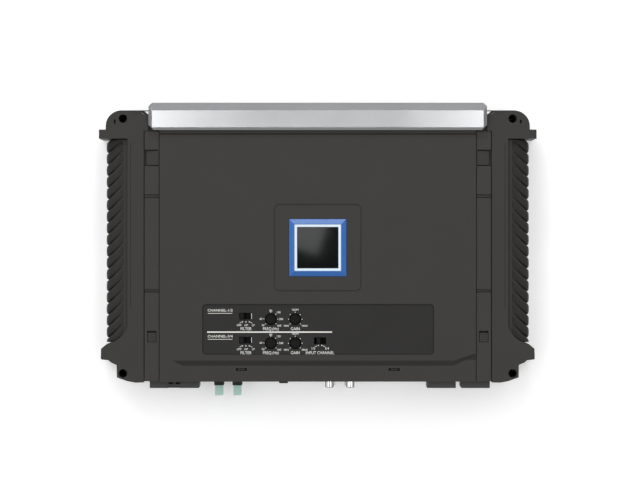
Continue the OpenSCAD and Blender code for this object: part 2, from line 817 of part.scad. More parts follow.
// The trim bar's solid shape, drawn smaller all round by a wall
module bar_shape(t) {
  intersection() {
    along_x(-bar_x + t, bar_x - t) polygon([[bar_front + t, ledge_z - t * 2],
      [bar_front + t, case_h - bar_front_cut[1] - t / 2],
      [bar_front + bar_front_cut[0] + t / 2, case_h - t],
      [bar_back - bar_back_cut[0] - t / 2, case_h - t],
      [bar_back - t, case_h - bar_back_cut[1] - t / 2], [bar_back - t, ledge_z - bar_tail - t],
      [ledge_back + bar_tail_gap + t, ledge_z - bar_tail - t],
      [ledge_back + bar_tail_gap + t, ledge_z - t * 2]]);
    along_y(bar_front - cut, bar_back + cut) polygon([[-bar_x + t, 0], [bar_x - t, 0],
      [bar_x - t, case_h - bar_end_cut[1]], [bar_x - bar_end_cut[0] - t, case_h - t],
      [-bar_x + bar_end_cut[0] + t, case_h - t], [-bar_x + t, case_h - bar_end_cut[1]]]);
    linear_extrude(case_h) polygon([[-bar_x + t, bar_front + bar_corner],
      [-bar_x + bar_corner + t, bar_front], [bar_x - bar_corner - t, bar_front],
      [bar_x - t, bar_front + bar_corner], [bar_x - t, bar_back - bar_rear_corner],
      [bar_x - bar_rear_corner - t, bar_back], [-bar_x + bar_rear_corner + t, bar_back],
      [-bar_x + t, bar_back - bar_rear_corner]]);
  }
}

module trim_bar() {
  color("gainsboro") difference() {
    union() {
      difference() {
        bar_shape(0);
        bar_shape(bar_t);
      }
      for (x = [-bar_boss_x, bar_boss_x]) translate([x, bar_boss_y, ledge_z])
        cylinder(r = bar_boss_r, h = case_h - ledge_z - 1);
    }
    for (x = [-bar_boss_x, bar_boss_x]) translate([x, bar_boss_y, ledge_z - 1])
      cylinder(r = tap_r, h = 5);
  }
}

module trim_bar_screws() {
  color("silver") for (x = [-bar_boss_x, bar_boss_x])
    translate([x, bar_boss_y, ledge_z - cover_t]) rotate([180, 0, 0])
      screw(cover_t + 3.5, hr = small_head_r, hh = 0.9);
}

// --- Controls -----------------------------------------------------------

module knob(x, y) {
  color("#1c1b1a") translate([x, y, 0]) difference() {
    union() {
      translate([0, 0, knob_low]) cylinder(r = knob_r, h = knob_top - knob_low);
      translate([0, 0, pot_z + pot_floor + end_play])
        cylinder(r = shaft_r, h = knob_low - pot_z - pot_floor);
    }
    translate([0, 0, knob_top - knob_slot_deep]) linear_extrude(knob_slot_deep + cut)
      square([knob_slot_w, knob_d - 2 * knob_slot_end], center = true);
  }
}

module slider(x, y, travel) {
  color("#1c1b1a") translate([x - travel / 2, y, 0]) {
    span([-slider_w / 2, -slider_d / 2, pot_z + slider_low],
      [slider_w / 2, slider_d / 2, slider_top]);
    span([-slider_w / 2 - slider_foot, -slider_d / 2, pot_z + slider_low],
      [slider_w / 2 + slider_foot, slider_d / 2, pot_z + slider_low + slider_foot_h]);
  }
}

module pot_bodies() {
  color("steelblue") for (x = [freq_x, gain_x], y = row_y) translate([x, y, pot_z])
    difference() {
      linear_extrude(pot_h) square(pot_s, center = true);
      translate([0, 0, pot_floor]) cylinder(r = shaft_r + shaft_clear, h = pot_h);
    }
}

// One slide switch's shell, open at the top for its slider
module switch_body(x, y) {
  translate([x, y, pot_z]) difference() {
    linear_extrude(switch_h) square([switch_w, switch_d], center = true);
    translate([0, 0, slider_low - switch_gap]) linear_extrude(slider_foot_h + 2 * switch_gap)
      square([switch_w - 2 * switch_wall, slider_d + 2 * switch_gap], center = true);
    translate([0, 0, slider_low]) linear_extrude(switch_h)
      square([slot_w, slider_d + 2 * switch_gap], center = true);
  }
}

module switch_bodies() {
  color("#1c1b1a") {
    for (y = row_y) switch_body(filter_x, y + 2);
    switch_body(input_x, input_y);
  }
}

module control_board() {
  color("darkgreen") span([ctl_x[0], ctl_y[0], ctl_z], [ctl_x[1], ctl_y[1], ctl_z + ctl_t]);
}

module board_link() {
  color("#222222") for (x = link_x) span([x - link_w / 2, ctl_y[1] - link_d - cut, deck_z],
    [x + link_w / 2, ctl_y[1] - cut, ctl_z]);
}

// --- Connectors ---------------------------------------------------------

// A terminal block: columns and rows of bays that open to the front, under a hood
module terminal_block(cx, w, columns, rows) {
  bay_high = (tab_top - hood_t - block_low - divider_t) / rows;
  difference() {
    union() {
      span([cx - w / 2, panel_front - tab_len, block_low], [cx + w / 2, panel_front, tab_top]);
      span([cx - w / 2 + tail_side + block_fit, panel_front - eps, deck_z],
        [cx + w / 2 - tail_side - block_fit, chassis_front + tail_in, tab_top - 4 - block_fit]);
    }
    for (c = columns, r = [0:rows - 1]) span([cx + c[0] + divider_t / 2,
      panel_front - tab_len - 1, block_low + divider_t + r * bay_high],
      [cx + c[1] - divider_t / 2, panel_front - tab_len + bay_deep,
      block_low + (r + 1) * bay_high]);
  }
}

// The brass plates at the backs of the bays
module terminal_plates(cx, w, columns, rows) {
  bay_high = (tab_top - hood_t - block_low - divider_t) / rows;
  for (c = columns, r = [0:rows - 1]) difference() {
    span([cx + c[0] + divider_t / 2 + block_fit, panel_front - tab_len + bay_deep - plate_brass,
      block_low + divider_t + r * bay_high + block_fit],
      [cx + c[1] - divider_t / 2 - block_fit, panel_front - tab_len + bay_deep,
      block_low + (r + 1) * bay_high - block_fit]);
    bay_axis(cx, c, r, bay_high) translate([0, 0, -2]) cylinder(r = tap_r, h = 4);
  }
}

module bay_axis(cx, c, r, bay_high) {
  translate([cx + (c[0] + c[1]) / 2, panel_front - tab_len + bay_deep - plate_brass,
    block_low + divider_t / 2 + (r + 0.5) * bay_high]) rotate([90, 0, 0]) children();
}

module terminal_screws(cx, w, columns, rows, hr) {
  bay_high = (tab_top - hood_t - block_low - divider_t) / rows;
  for (c = columns, r = [0:rows - 1]) bay_axis(cx, c, r, bay_high)
    screw(plate_brass, hr = hr, hh = 2);
}

power_half = power_w / 2;
power_columns = [[-power_half, -middle_w / 2 - 0.5], [-middle_w / 2 - 0.5, middle_w / 2 + 0.5],
  [middle_w / 2 + 0.5, power_half]];
speaker_half = speaker_w / 2;
speaker_columns = [[-speaker_half, 0], [0, speaker_half]];

module power_block() {
  color("#464542") difference() {
    terminal_block(power_cx, power_w, power_columns, 1);
    // the middle bay's hood stands back, with two sight slots
    span([power_cx - middle_w / 2, panel_front - tab_len - 1, tab_top - hood_t - 1],
      [power_cx + middle_w / 2, panel_front - tab_len + hood_back, tab_top + 1]);
    for (s = [left, right]) translate([power_cx + s * sight_x, panel_front - sight_y,
      tab_top - hood_t - cut]) linear_extrude(hood_t + 2 * cut)
      square([sight_w, 1], center = true);
  }
}

module power_plates() {
  color("gold") terminal_plates(power_cx, power_w, power_columns, 1);
}

module power_screws() {
  color("silver") terminal_screws(power_cx, power_w, power_columns, 1, bay_head_r);
}

module speaker_blocks() {
  color("#464542") for (x = speaker_cx) terminal_block(x, speaker_w, speaker_columns, 2);
}

module speaker_plates() {
  color("gold") for (x = speaker_cx) terminal_plates(x, speaker_w, speaker_columns, 2);
}

module speaker_screws() {
  color("silver") for (x = speaker_cx) terminal_screws(x, speaker_w, speaker_columns, 2, bay_head_r);
}

module fuse_holder() {
  color("#2e2d2b") difference() {
    union() {
      for (x = fuse_x) span([x - socket_half_t(), panel_front - socket_out,
        fuse_z - socket_half_w()], [x + socket_half_t(), holder_back, fuse_z + socket_half_w()]);
      span([fuse_x[0] - socket_half_t(), chassis_front + 1, deck_z],
        [fuse_x[1] + socket_half_t(), holder_back, fuse_z + socket_half_w()]);
    }
    for (x = fuse_x) {
      span([x - fuse_t / 2 - fuse_fit, panel_front - socket_out - 1,
        fuse_z - fuse_w / 2 - fuse_fit], [x + fuse_t / 2 + fuse_fit, fuse_back + 0.1,
        fuse_z + fuse_w / 2 + fuse_fit]);
      for (s = [left, right]) span([x - blade_t / 2 - fuse_fit, fuse_back - 1,
        fuse_z + s * blade_off - blade_w / 2 - fuse_fit], [x + blade_t / 2 + fuse_fit,
        fuse_back + blade_len + 0.5, fuse_z + s * blade_off + blade_w / 2 + fuse_fit]);
    }
  }
}

module fuse(x) {
  color("#9bc8bb") difference() {
    span([x - fuse_t / 2, fuse_back - fuse_body, fuse_z - fuse_w / 2],
      [x + fuse_t / 2, fuse_back, fuse_z + fuse_w / 2]);
    for (s = [left, right]) span([x - blade_t / 2, fuse_back - blade_root,
      fuse_z + s * blade_off - blade_w / 2], [x + blade_t / 2, fuse_back + 1,
      fuse_z + s * blade_off + blade_w / 2]);
  }
}

module fuse_blades(x) {
  color("silver") for (s = [left, right]) span([x - blade_t / 2, fuse_back - blade_root,
    fuse_z + s * blade_off - blade_w / 2], [x + blade_t / 2, fuse_back + blade_len,
    fuse_z + s * blade_off + blade_w / 2]);
}

module rca_housing() {
  color("#1c1b1a") span([rca_x[0] - rca_pitch / 2, chassis_front, deck_z],
    [rca_x[1] + rca_pitch / 2, chassis_front + housing_d, rca_z[1] + housing_top]);
}

module rca_shells() {
  color("gainsboro") for (x = rca_x, z = rca_z) translate([x, panel_front, z])
    rotate([90, 0, 0]) difference() {
      cylinder(r = rca_r, h = rca_len);
      translate([0, 0, -1]) cylinder(r = rca_r - rca_wall, h = rca_len + 2);
    }
}

module rca_inserts() {
  color("white") for (x = rca_x, z = rca_z) translate([x, chassis_front, z])
    rotate([90, 0, 0]) difference() {
      cylinder(r = rca_r - rca_wall - sleeve_fit, h = panel_t + rca_len - 0.6);
      translate([0, 0, panel_t + rca_len - 0.6 - rca_deep]) cylinder(r = rca_bore, h = rca_deep + 1);
    }
}

module remote_jack() {
  color("#1c1b1a") translate([jack_x, chassis_front, jack_z]) rotate([90, 0, 0]) difference() {
    union() {
      cylinder(r = jack_r, h = panel_t + jack_nose);
      translate([-jack_s / 2, deck_z - jack_z, -jack_tail])
        cube([jack_s, jack_z - deck_z + jack_s / 2, jack_tail]);
    }
    translate([0, 0, jack_nose + panel_t - jack_deep]) cylinder(r = jack_bore, h = jack_deep + cut);
  }
}

// --- Inside -------------------------------------------------------------

module main_board() {
  color("darkgreen") difference() {
    span([-board_x, board_front, board_z], [board_x, board_back, deck_z]);
    for (x = [-stand_x, stand_x], y = stand_y) translate([x, y, board_z - 1])
      cylinder(r = tap_r, h = board_t + 2);
  }
}

module board_standoffs() {
  color("silver") for (x = [-stand_x, stand_x], y = stand_y) translate([x, y, floor_z])
    difference() {
      cylinder(r = stand_r, h = board_gap);
      translate([0, 0, -1]) cylinder(r = tap_r, h = board_gap + 2);
    }
}

module board_screws() {
  color("silver") for (x = [-stand_x, stand_x], y = stand_y) translate([x, y, deck_z])
    screw(board_t + board_gap + floor_t - 1.5);
}

// A ring of square section about a vertical axis
module ring(outer, inner, h) {
  rotate_extrude() translate([inner, 0]) square([outer - inner, h]);
}

module transformer_core() {
  color("#4a4a50") translate([core_x, core_y, deck_z + wind_t]) ring(core_r, core_r - core_wall, core_h);
}

module transformer_winding() {
  fit = 0.1;
  color("peru") translate([core_x, core_y, deck_z]) difference() {
    ring(core_r + wind_t, core_r - core_wall - wind_t, core_h + 2 * wind_t);
    translate([0, 0, wind_t - fit]) ring(core_r + fit, core_r - core_wall - fit, core_h + 2 * fit);
  }
}

module filter_capacitors() {
  color("#26262c") for (x = can_x, y = can_y) translate([x, y, deck_z]) {
    cylinder(r = can_r - can_rim, h = can_h);
    cylinder(r = can_r, h = can_h - can_neck);
  }
}

module output_coils() {
  color("peru") for (y = coil_y, x = coil_x) translate([x, y, deck_z])
    ring(coil_r, coil_hole, coil_h);
}

module power_transistors() {
  color("#26262c") for (s = [left, right], i = [0:fet_n - 1]) on_side(s)
    translate([wall_in - fet_t, fet_y(i), fet_z]) {
      translate([0, -fet_w / 2, 0]) cube([fet_t, fet_w, fet_h]);
      for (k = [-1:1]) translate([fet_t / 2, k * leg_pitch, deck_z - fet_z])
        linear_extrude(fet_z - deck_z + eps) square([leg_t, leg_w], center = true);
    }
}

module transistor_clamps() {
  half = (fet_n * fet_pitch + 8) / 2;
  color("silver") for (s = [left, right]) on_side(s) difference() {
    span([wall_in - fet_t - clamp_t, -half, clamp_z() - clamp_w / 2],
      [wall_in - fet_t, half, clamp_z() + clamp_w / 2]);
    for (i = [0:fet_n]) translate([wall_in - fet_t - clamp_t - 1, fet_y(i) - fet_pitch / 2,
      clamp_z()]) rotate([0, 90, 0]) cylinder(r = tap_r, h = clamp_t + 2);
  }
}

module clamp_screws() {
  color("silver") for (s = [left, right], i = [0:fet_n]) on_side(s)
    translate([wall_in - fet_t - clamp_t, fet_y(i) - fet_pitch / 2, clamp_z()])
      rotate([0, -90, 0]) screw(clamp_t + fet_t + 2.5, hr = small_head_r, hh = 1.6);
}

chassis();
fin_block(left);  // fin_block_left
fin_block(right);  // fin_block_right
end_cap(left);  // end_cap_left
end_cap(right);  // end_cap_right
end_cap_screws();
mounting_sleeves();
rear_panel();
front_panel();
panel_screws();
top_cover();
cover_screws();
control_plate();
badge_bezel();
badge_frame();
badge_window();
badge_light_board();
side_strip(left);  // side_strip_left
side_strip(right);  // side_strip_right
latch(left);  // latch_left
latch(right);  // latch_right
trim_bar();
trim_bar_screws();
main_board();
board_standoffs();
board_screws();
transformer_core();
transformer_winding();
filter_capacitors();
output_coils();
power_transistors();
transistor_clamps();
clamp_screws();
control_board();
board_link();
pot_bodies();
switch_bodies();
knob(freq_x, row_y[0]);  // knob_freq_back
knob(freq_x, row_y[1]);  // knob_freq_front
knob(gain_x, row_y[0]);  // knob_gain_back
knob(gain_x, row_y[1]);  // knob_gain_front
slider(filter_x, row_y[0] + 2, filter_travel);  // slider_filter_back
slider(filter_x, row_y[1] + 2, filter_travel);  // slider_filter_front
slider(input_x, input_y, input_travel);  // slider_input
fuse_holder();
fuse(fuse_x[0]);  // fuse_left
fuse_blades(fuse_x[0]);  // fuse_left_blades
fuse(fuse_x[1]);  // fuse_right
fuse_blades(fuse_x[1]);  // fuse_right_blades
rca_housing();
rca_shells();
rca_inserts();
remote_jack();
power_block();
power_plates();
power_screws();
speaker_blocks();
speaker_plates();
speaker_screws();
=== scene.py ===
"""Finished pieces of a four-channel car amplifier, built round its CAD frame."""

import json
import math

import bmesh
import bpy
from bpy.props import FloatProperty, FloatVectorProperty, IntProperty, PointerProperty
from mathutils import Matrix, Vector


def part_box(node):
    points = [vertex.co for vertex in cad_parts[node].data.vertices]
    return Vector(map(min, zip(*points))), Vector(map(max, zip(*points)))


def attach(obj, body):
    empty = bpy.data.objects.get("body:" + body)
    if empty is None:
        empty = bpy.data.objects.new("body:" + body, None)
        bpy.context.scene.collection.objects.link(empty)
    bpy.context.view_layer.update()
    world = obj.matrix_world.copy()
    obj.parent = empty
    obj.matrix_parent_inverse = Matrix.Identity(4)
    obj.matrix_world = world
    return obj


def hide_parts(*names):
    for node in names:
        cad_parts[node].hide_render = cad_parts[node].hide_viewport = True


bl_info = {
    "name": "Car Amplifier",
    "version": (1, 0, 0),
    "blender": (4, 5, 0),
    "location": "View3D > Sidebar > Amplifier",
    "description": "Builds the finished pieces of a four-channel car amplifier and its stage",
    "category": "Object",
}

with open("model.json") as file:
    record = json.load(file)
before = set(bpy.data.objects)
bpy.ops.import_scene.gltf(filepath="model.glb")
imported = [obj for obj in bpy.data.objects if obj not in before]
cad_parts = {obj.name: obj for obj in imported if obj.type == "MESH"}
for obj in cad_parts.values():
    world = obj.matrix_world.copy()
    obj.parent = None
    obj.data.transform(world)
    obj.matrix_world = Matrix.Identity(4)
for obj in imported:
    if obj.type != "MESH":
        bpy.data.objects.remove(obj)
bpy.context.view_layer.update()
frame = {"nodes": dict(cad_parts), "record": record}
MM = 0.001
CASE = "case"
SIDES = (("left", -1), ("right", 1))


# --- Sizes and colours that a user would change ---

def shade(red, green, blue):
    """A colour given as screen values of 0 to 255, as linear light."""
    def linear(value):
        value /= 255
        return value / 12.92 if value <= 0.04045 else ((value + 0.055) / 1.055) ** 2.4
    return tuple(linear(value) for value in (red, green, blue))


def length(name, description, default):
    return FloatProperty(name=name, description=description, default=default * MM, min=0.0,
                         subtype="DISTANCE", unit="LENGTH", precision=5)


def colour(name, description, default):
    return FloatVectorProperty(name=name, description=description, default=shade(*default),
                               subtype="COLOR", min=0.0, max=1.0)


class AmplifierSizes(bpy.types.PropertyGroup):
    """Sizes of the fine shapes that the frame leaves plain."""
    soft_edge: length("Soft edge", "Rounding of moulded outer edges", 0.45)
    crisp_edge: length("Crisp edge", "Rounding of cut and folded metal edges", 0.2)
    rib_pitch: length("Rib pitch", "Spacing of the side ribs", 7.73)
    rib_crown: length("Rib crown", "How far a rib's middle stands above its edges", 0.9)
    rib_gap: length("Rib gap", "Width of the line between two ribs", 0.6)
    print_height: length("Print height", "Thickness of the printed marks", 0.04)
    rib_steps: IntProperty(name="Rib steps", description="Faces across one rib", default=10, min=4)


class AmplifierColours(bpy.types.PropertyGroup):
    """Colours of the finishes."""
    cover: colour("Cover", "Moulded cover", (44, 42, 39))
    cap: colour("End cap", "Moulded end caps", (42, 41, 38))
    strip: colour("Strip", "Moulded side strips", (45, 43, 41))
    panel: colour("Panel", "Control panel", (26, 24, 23))
    rib: colour("Ribs", "Cast ribbed sides", (39, 38, 35))
    bezel: colour("Bezel", "Badge bezel", (46, 100, 172))
    lit: colour("Lit frame", "Lit line round the badge", (226, 242, 255))
    bright: colour("Trim", "Bright trim bar", (226, 227, 229))
    fuse: colour("Fuse", "Fuse bodies", (194, 232, 220))
    ink: colour("Ink", "Printed marks", (226, 226, 220))


class StageSettings(bpy.types.PropertyGroup):
    """Where the camera stands and how strong the light is."""
    camera_height: FloatProperty(name="Camera height", description="Height above the base plane",
                                 default=2.425, min=0.5, subtype="DISTANCE", unit="LENGTH")
    lens: FloatProperty(name="Lens", description="Focal length", default=200.0, min=20.0,
                        subtype="DISTANCE_CAMERA")
    light: FloatProperty(name="Light", description="Strength of all the lamps", default=1.0,
                         min=0.0, subtype="FACTOR")


# --- Shader trees ---

def plug(tree, port, value):
    """Gives a socket a wire or a plain value."""
    if isinstance(value, Wire):
        tree.links.new(value.socket, port)
    else:
        port.default_value = value


class Wire:
    """A number in a shader tree that can be added and multiplied."""

    def __init__(self, tree, socket):
        self.tree = tree
        self.socket = socket

    def maths(self, operation, other):
        node = self.tree.nodes.new("ShaderNodeMath")
        node.operation = operation
        for port, value in zip(node.inputs, (self, other)):
            plug(self.tree, port, value)
        return Wire(self.tree, node.outputs[0])

    def __add__(self, other):
        return self.maths("ADD", other)

    __radd__ = __add__

    def __mul__(self, other):
        return self.maths("MULTIPLY", other)


class Finish:
    """A material under construction, with its surface shader and its place on the object."""

    def __init__(self, name, **fixed):
        self.material = bpy.data.materials.new(name)
        self.material.use_nodes = True
        self.tree = self.material.node_tree
        self.tree.nodes.clear()
        self.surface = self.tree.nodes.new("ShaderNodeBsdfPrincipled")
        out = self.tree.nodes.new("ShaderNodeOutputMaterial")
        self.tree.links.new(self.surface.outputs[0], out.inputs["Surface"])
        self.place = self.node("ShaderNodeTexCoord", output="Object")
        self.give(**fixed)

    def node(self, kind, settings=(), output=0, **ports):
        """Adds a node: its settings first, then its sockets, whose names may use underscores."""
        made = self.tree.nodes.new(kind)
        for key, value in dict(settings).items():
            setattr(made, key, value)
        for key, value in ports.items():
            plug(self.tree, made.inputs[key.replace("_", " ")], value)
        return Wire(self.tree, made.outputs[output])

    def give(self, **ports):
        for key, value in ports.items():
            if isinstance(value, (tuple, list)) and len(value) == 3:
                value = (*value, 1.0)
            plug(self.tree, self.surface.inputs[key.replace("_", " ")], value)

    def stretched(self, scale):
        return self.node("ShaderNodeMapping", Vector=self.place, Scale=scale)

    def noise(self, scale, detail=3.0, stretch=None):
        place = self.stretched(stretch) if stretch else self.place
        return self.node("ShaderNodeTexNoise", Vector=place, Scale=scale, Detail=detail,
                         output="Fac")

    def cells(self, scale):
        return self.node("ShaderNodeTexVoronoi", Vector=self.place, Scale=scale, output="Distance")

    def tint(self, base, factor, low, high):
        """The base colour, made darker and lighter by a factor of 0 to 1."""
        mix = self.tree.nodes.new("ShaderNodeMix")
        mix.data_type = "RGBA"
        plug(self.tree, mix.inputs["Factor"], factor)
        mix.inputs[6].default_value = (*(value * low for value in base), 1.0)
        mix.inputs[7].default_value = (*(min(1.0, value * high) for value in base), 1.0)
        return Wire(self.tree, mix.outputs[2])

    def relief(self, height, depth):
        """Bump of a real depth in metres."""
        bump = self.node("ShaderNodeBump", Height=height, Distance=depth, Strength=1.0)
        self.give(Normal=bump)


def moulded(name, base, roughness=0.52, grain=2600.0, shine=0.3):
    """Matt moulded plastic: a fine spark-eroded grain over faint cloudiness."""
    made = Finish(name, Specular_IOR_Level=shine)
    cloud = made.noise(38.0)
    fine = made.noise(grain, 2.0)
    made.give(Base_Color=made.tint(base, cloud * 0.6 + fine * 0.4, 0.9, 1.1))
    made.give(Roughness=roughness - 0.07 + cloud * 0.14)
    made.relief(fine, 0.000018)
    return made.material


def painted(name, base, roughness=0.5, metallic=0.0, grain=1500.0):
    """Black coating on cast or extruded aluminium, with a slight orange peel."""
    made = Finish(name, Metallic=metallic, Specular_IOR_Level=0.3)
    peel = made.noise(grain, 4.0)
    cloud = made.noise(70.0)
    made.give(Base_Color=made.tint(base, peel * 0.5 + cloud * 0.5, 0.84, 1.14))
    made.give(Roughness=roughness - 0.08 + peel * 0.16)
    made.relief(peel, 0.00003)
    return made.material


def drawn_metal(name, base, roughness):
    """Bare metal with fine lines from left to right."""
    made = Finish(name, Metallic=1.0)
    lines = made.noise(70.0, 4.0, (1.0, 90.0, 90.0))
    smudge = made.noise(26.0)
    made.give(Base_Color=made.tint(base, lines, 0.94, 1.04))
    made.give(Roughness=roughness - 0.05 + lines * 0.07 + smudge * 0.04)
    made.relief(lines, 0.0000008)
    return made.material


def turned_metal(name, base, roughness):
    """Plated or turned small metal parts, faintly mottled."""
    made = Finish(name, Metallic=1.0)
    mottle = made.noise(900.0)
    made.give(Base_Color=made.tint(base, mottle, 0.9, 1.05))
    made.give(Roughness=roughness - 0.04 + mottle * 0.1)
    made.relief(mottle, 0.000003)
    return made.material


def circuit_board(name):
    """Green solder mask with paler tracks and dark speckle."""
    made = Finish(name, Coat_Weight=0.3)
    tracks = made.node("ShaderNodeTexBrick", {"offset": 0.35}, Vector=made.place, Scale=160.0,
                       output="Fac")
    made.give(Base_Color=made.tint(shade(34, 96, 60), tracks * 0.7 + made.noise(300.0) * 0.3,
                                   1.15, 0.55))
    made.give(Roughness=0.34 + tracks * 0.2)
    made.relief(tracks, 0.00002)
    return made.material


def wound_copper(name):
    """Enamelled wire laid close, turn by turn."""
    made = Finish(name, Metallic=0.7)
    turns = made.node("ShaderNodeTexWave", {"wave_type": "RINGS", "rings_direction": "Z"},
                      Vector=made.place, Scale=420.0, Distortion=0.6, output="Fac")
    made.give(Base_Color=made.tint((0.62, 0.24, 0.09), turns, 0.55, 1.15))
    made.give(Roughness=0.28 + turns * 0.16)
    made.relief(turns, 0.0002)
    return made.material


def blue_anodised(name, base):
    """Blue bezel with a sparkling cast."""
    made = Finish(name, Coat_Weight=0.25, Coat_Roughness=0.25)
    spark = made.cells(1500.0)
    sweep = made.noise(60.0)
    made.give(Base_Color=made.tint(base, spark * 0.6 + sweep * 0.4, 0.8, 1.35))
    made.give(Roughness=0.26 + spark * 0.2)
    made.relief(spark, 0.00002)
    return made.material


def lit_guide(name, base):
    """Clear light guide that glows evenly from the lamps under it."""
    made = Finish(name, Roughness=0.3, Emission_Strength=0.5)
    flow = made.noise(120.0)
    made.give(Base_Color=made.tint(base, flow, 0.44, 0.5))
    made.give(Emission_Color=made.tint(base, flow, 0.9, 1.0))
    return made.material


def black_glass(name):
    """Polished black window."""
    made = Finish(name)
    haze = made.noise(45.0)
    made.give(Base_Color=made.tint(shade(14, 16, 16), haze, 0.8, 1.2))
    made.give(Roughness=0.03 + haze * 0.03)
    return made.material


def clear_fuse(name, base):
    """Tinted see-through plastic of a fuse body."""
    made = Finish(name, Transmission_Weight=0.15, IOR=1.49)
    flow = made.noise(220.0)
    made.give(Base_Color=made.tint(base, flow, 0.88, 1.08))
    made.give(Roughness=0.22 + flow * 0.14)
    made.relief(flow, 0.00001)
    return made.material


def printed(name, base):
    """Screen-printed ink, a little uneven at its edges."""
    made = Finish(name)
    patch = made.noise(2200.0)
    made.give(Base_Color=made.tint(base, patch, 0.9, 1.04))
    made.give(Roughness=0.55 + patch * 0.15)
    return made.material


PAINTS = {}


def paint(name):
    """The material of that name, made once."""
    if name not in PAINTS:
        c = bpy.context.scene.amplifier_colours
        makers = {
            "cover_plastic": (moulded, c.cover),
            "cap_plastic": (moulded, c.cap, 0.5),
            "strip_plastic": (moulded, c.strip, 0.5),
            "latch_plastic": (moulded, shade(42, 41, 39), 0.5),
            "control_plastic": (moulded, c.panel, 0.55),
            "terminal_plastic": (moulded, shade(62, 61, 61), 0.46),
            "black_resin": (moulded, shade(20, 19, 19), 0.45),
            "blue_resin": (moulded, shade(50, 84, 140), 0.4),
            "knob_black": (moulded, shade(14, 13, 13), 0.4, 3200.0, 0.12),
            "insert_white": (moulded, shade(225, 225, 220), 0.4),
            "insert_red": (moulded, shade(186, 32, 30), 0.4),
            "fin_metal": (painted, c.rib),
            "case_metal": (painted, shade(40, 39, 37), 0.46, 0.0, 2200.0),
            "panel_metal": (painted, shade(38, 37, 35), 0.48, 0.0, 2600.0),
            "black_steel": (painted, shade(40, 39, 38), 0.36, 0.6),
            "ferrite": (painted, shade(84, 84, 90), 0.6),
            "trim_silver": (drawn_metal, c.bright, 0.19),
            "steel": (drawn_metal, (0.60, 0.60, 0.61), 0.3),
            "tin": (drawn_metal, (0.68, 0.68, 0.67), 0.3),
            "nickel": (turned_metal, (0.82, 0.82, 0.81), 0.12),
            "brass": (turned_metal, (0.80, 0.60, 0.27), 0.26),
            "copper": (wound_copper,),
            "board_green": (circuit_board,),
            "capacitor_sleeve": (moulded, shade(30, 32, 44), 0.3),
            "bezel_blue": (blue_anodised, c.bezel),
            "lit_frame": (lit_guide, c.lit),
            "window_black": (black_glass,),
            "fuse_green": (clear_fuse, c.fuse),
            "ink": (printed, c.ink),
        }
        maker, *values = makers[name]
        PAINTS[name] = maker(name, *values)
    return PAINTS[name]


# --- Meshes ---

WELD = 2e-6         # corners of the CAD triangles that are this close are one corner
FINE_WELD = 1e-7    # the same for shapes built here
FLAT_TURN = math.radians(0.8)     # faces that turn by less than this are one flat face
BEVEL_TURN = math.radians(20)     # edges sharper than this are rounded
SLOTS = {row["node"]: row["material_slot"] for row in frame["record"]["subparts"]}
BODY_OF = {node: body for body, nodes in frame["record"]["behaviour"]["bodies"].items()
           for node in nodes}


def new_object(name, mesh):
    made = bpy.data.objects.new(name, mesh)
    bpy.context.scene.collection.objects.link(made)
    return made


def from_bmesh(name, bm, smooth=32.0):
    """A mesh object from a bmesh, smooth except at edges sharper than that angle."""
    mesh = bpy.data.meshes.new(name)
    bm.to_mesh(mesh)
    bm.free()
    mesh.shade_smooth()
    mesh.set_sharp_from_angle(angle=math.radians(smooth))
    return new_object(name, mesh)


def baked(source, name):
    """The object with its modifiers applied, as a new plain object in its place."""
    bpy.context.view_layer.update()
    graph = bpy.context.evaluated_depsgraph_get()
    mesh = bpy.data.meshes.new_from_object(source.evaluated_get(graph), depsgraph=graph)
    bpy.data.objects.remove(source)
    mesh.name = name
    return new_object(name, mesh)


def settle(piece, body, finish, nodes=()):
    """Gives a finished piece its material, its body and the CAD nodes it stands for."""
    if finish:
        piece.data.materials.clear()
        piece.data.materials.append(paint(finish))
    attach(piece, body)
    if nodes:
        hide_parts(*nodes)
    return piece


def merged(node):
    """A closed copy of a CAD node's loose triangles, with its flat faces joined up."""
    bm = bmesh.new()
    bm.from_mesh(frame["nodes"][node].data)
    bmesh.ops.remove_doubles(bm, verts=bm.verts, dist=WELD)
    bmesh.ops.dissolve_limit(bm, angle_limit=FLAT_TURN, verts=bm.verts, edges=bm.edges)
    pierced = [face for face in bm.faces if len(face.verts) > 4]
    bmesh.ops.triangulate(bm, faces=pierced, ngon_method="BEAUTY")
    return bm


def softened(node, width, segments=2):
    """A copy of a CAD node with its edges rounded, in its place."""
    piece = from_bmesh(node + "_finished", merged(node), 180)
    bevel = piece.modifiers.new("Edges", "BEVEL")
    bevel.width = width
    bevel.segments = segments
    bevel.limit_method = "ANGLE"
    bevel.angle_limit = BEVEL_TURN
    bevel.use_clamp_overlap = True
    flat = piece.modifiers.new("Flat faces", "WEIGHTED_NORMAL")
    flat.mode = "FACE_AREA"
    flat.weight = 95
    piece = baked(piece, node + "_finished")
    return settle(piece, BODY_OF[node], SLOTS[node], [node])


def lathe(bm, profile, centre, axis, segments=40):
    """Turns a profile of (radius, distance) points round an axis through the centre."""
    spin = Vector((0, 0, 1)).rotation_difference(Vector(axis)).to_matrix()
    rings = []
    for radius, along in profile:
        ring = []
        if radius < FINE_WELD:
            ring = [bm.verts.new(Vector(centre) + spin @ Vector((0, 0, along)))]
        else:
            for i in range(segments):
                turn = 2 * math.pi * i / segments
                spot = Vector((radius * math.cos(turn), radius * math.sin(turn), along))
                ring.append(bm.verts.new(Vector(centre) + spin @ spot))
        rings.append(ring)
    for low, high in zip(rings, rings[1:]):
        for i in range(segments):
            k = (i + 1) % segments
            corners = [low[i % len(low)], low[k % len(low)], high[k % len(high)],
                       high[i % len(high)]]
            corners = list(dict.fromkeys(corners))
            if len(corners) > 2:
                bm.faces.new(corners)


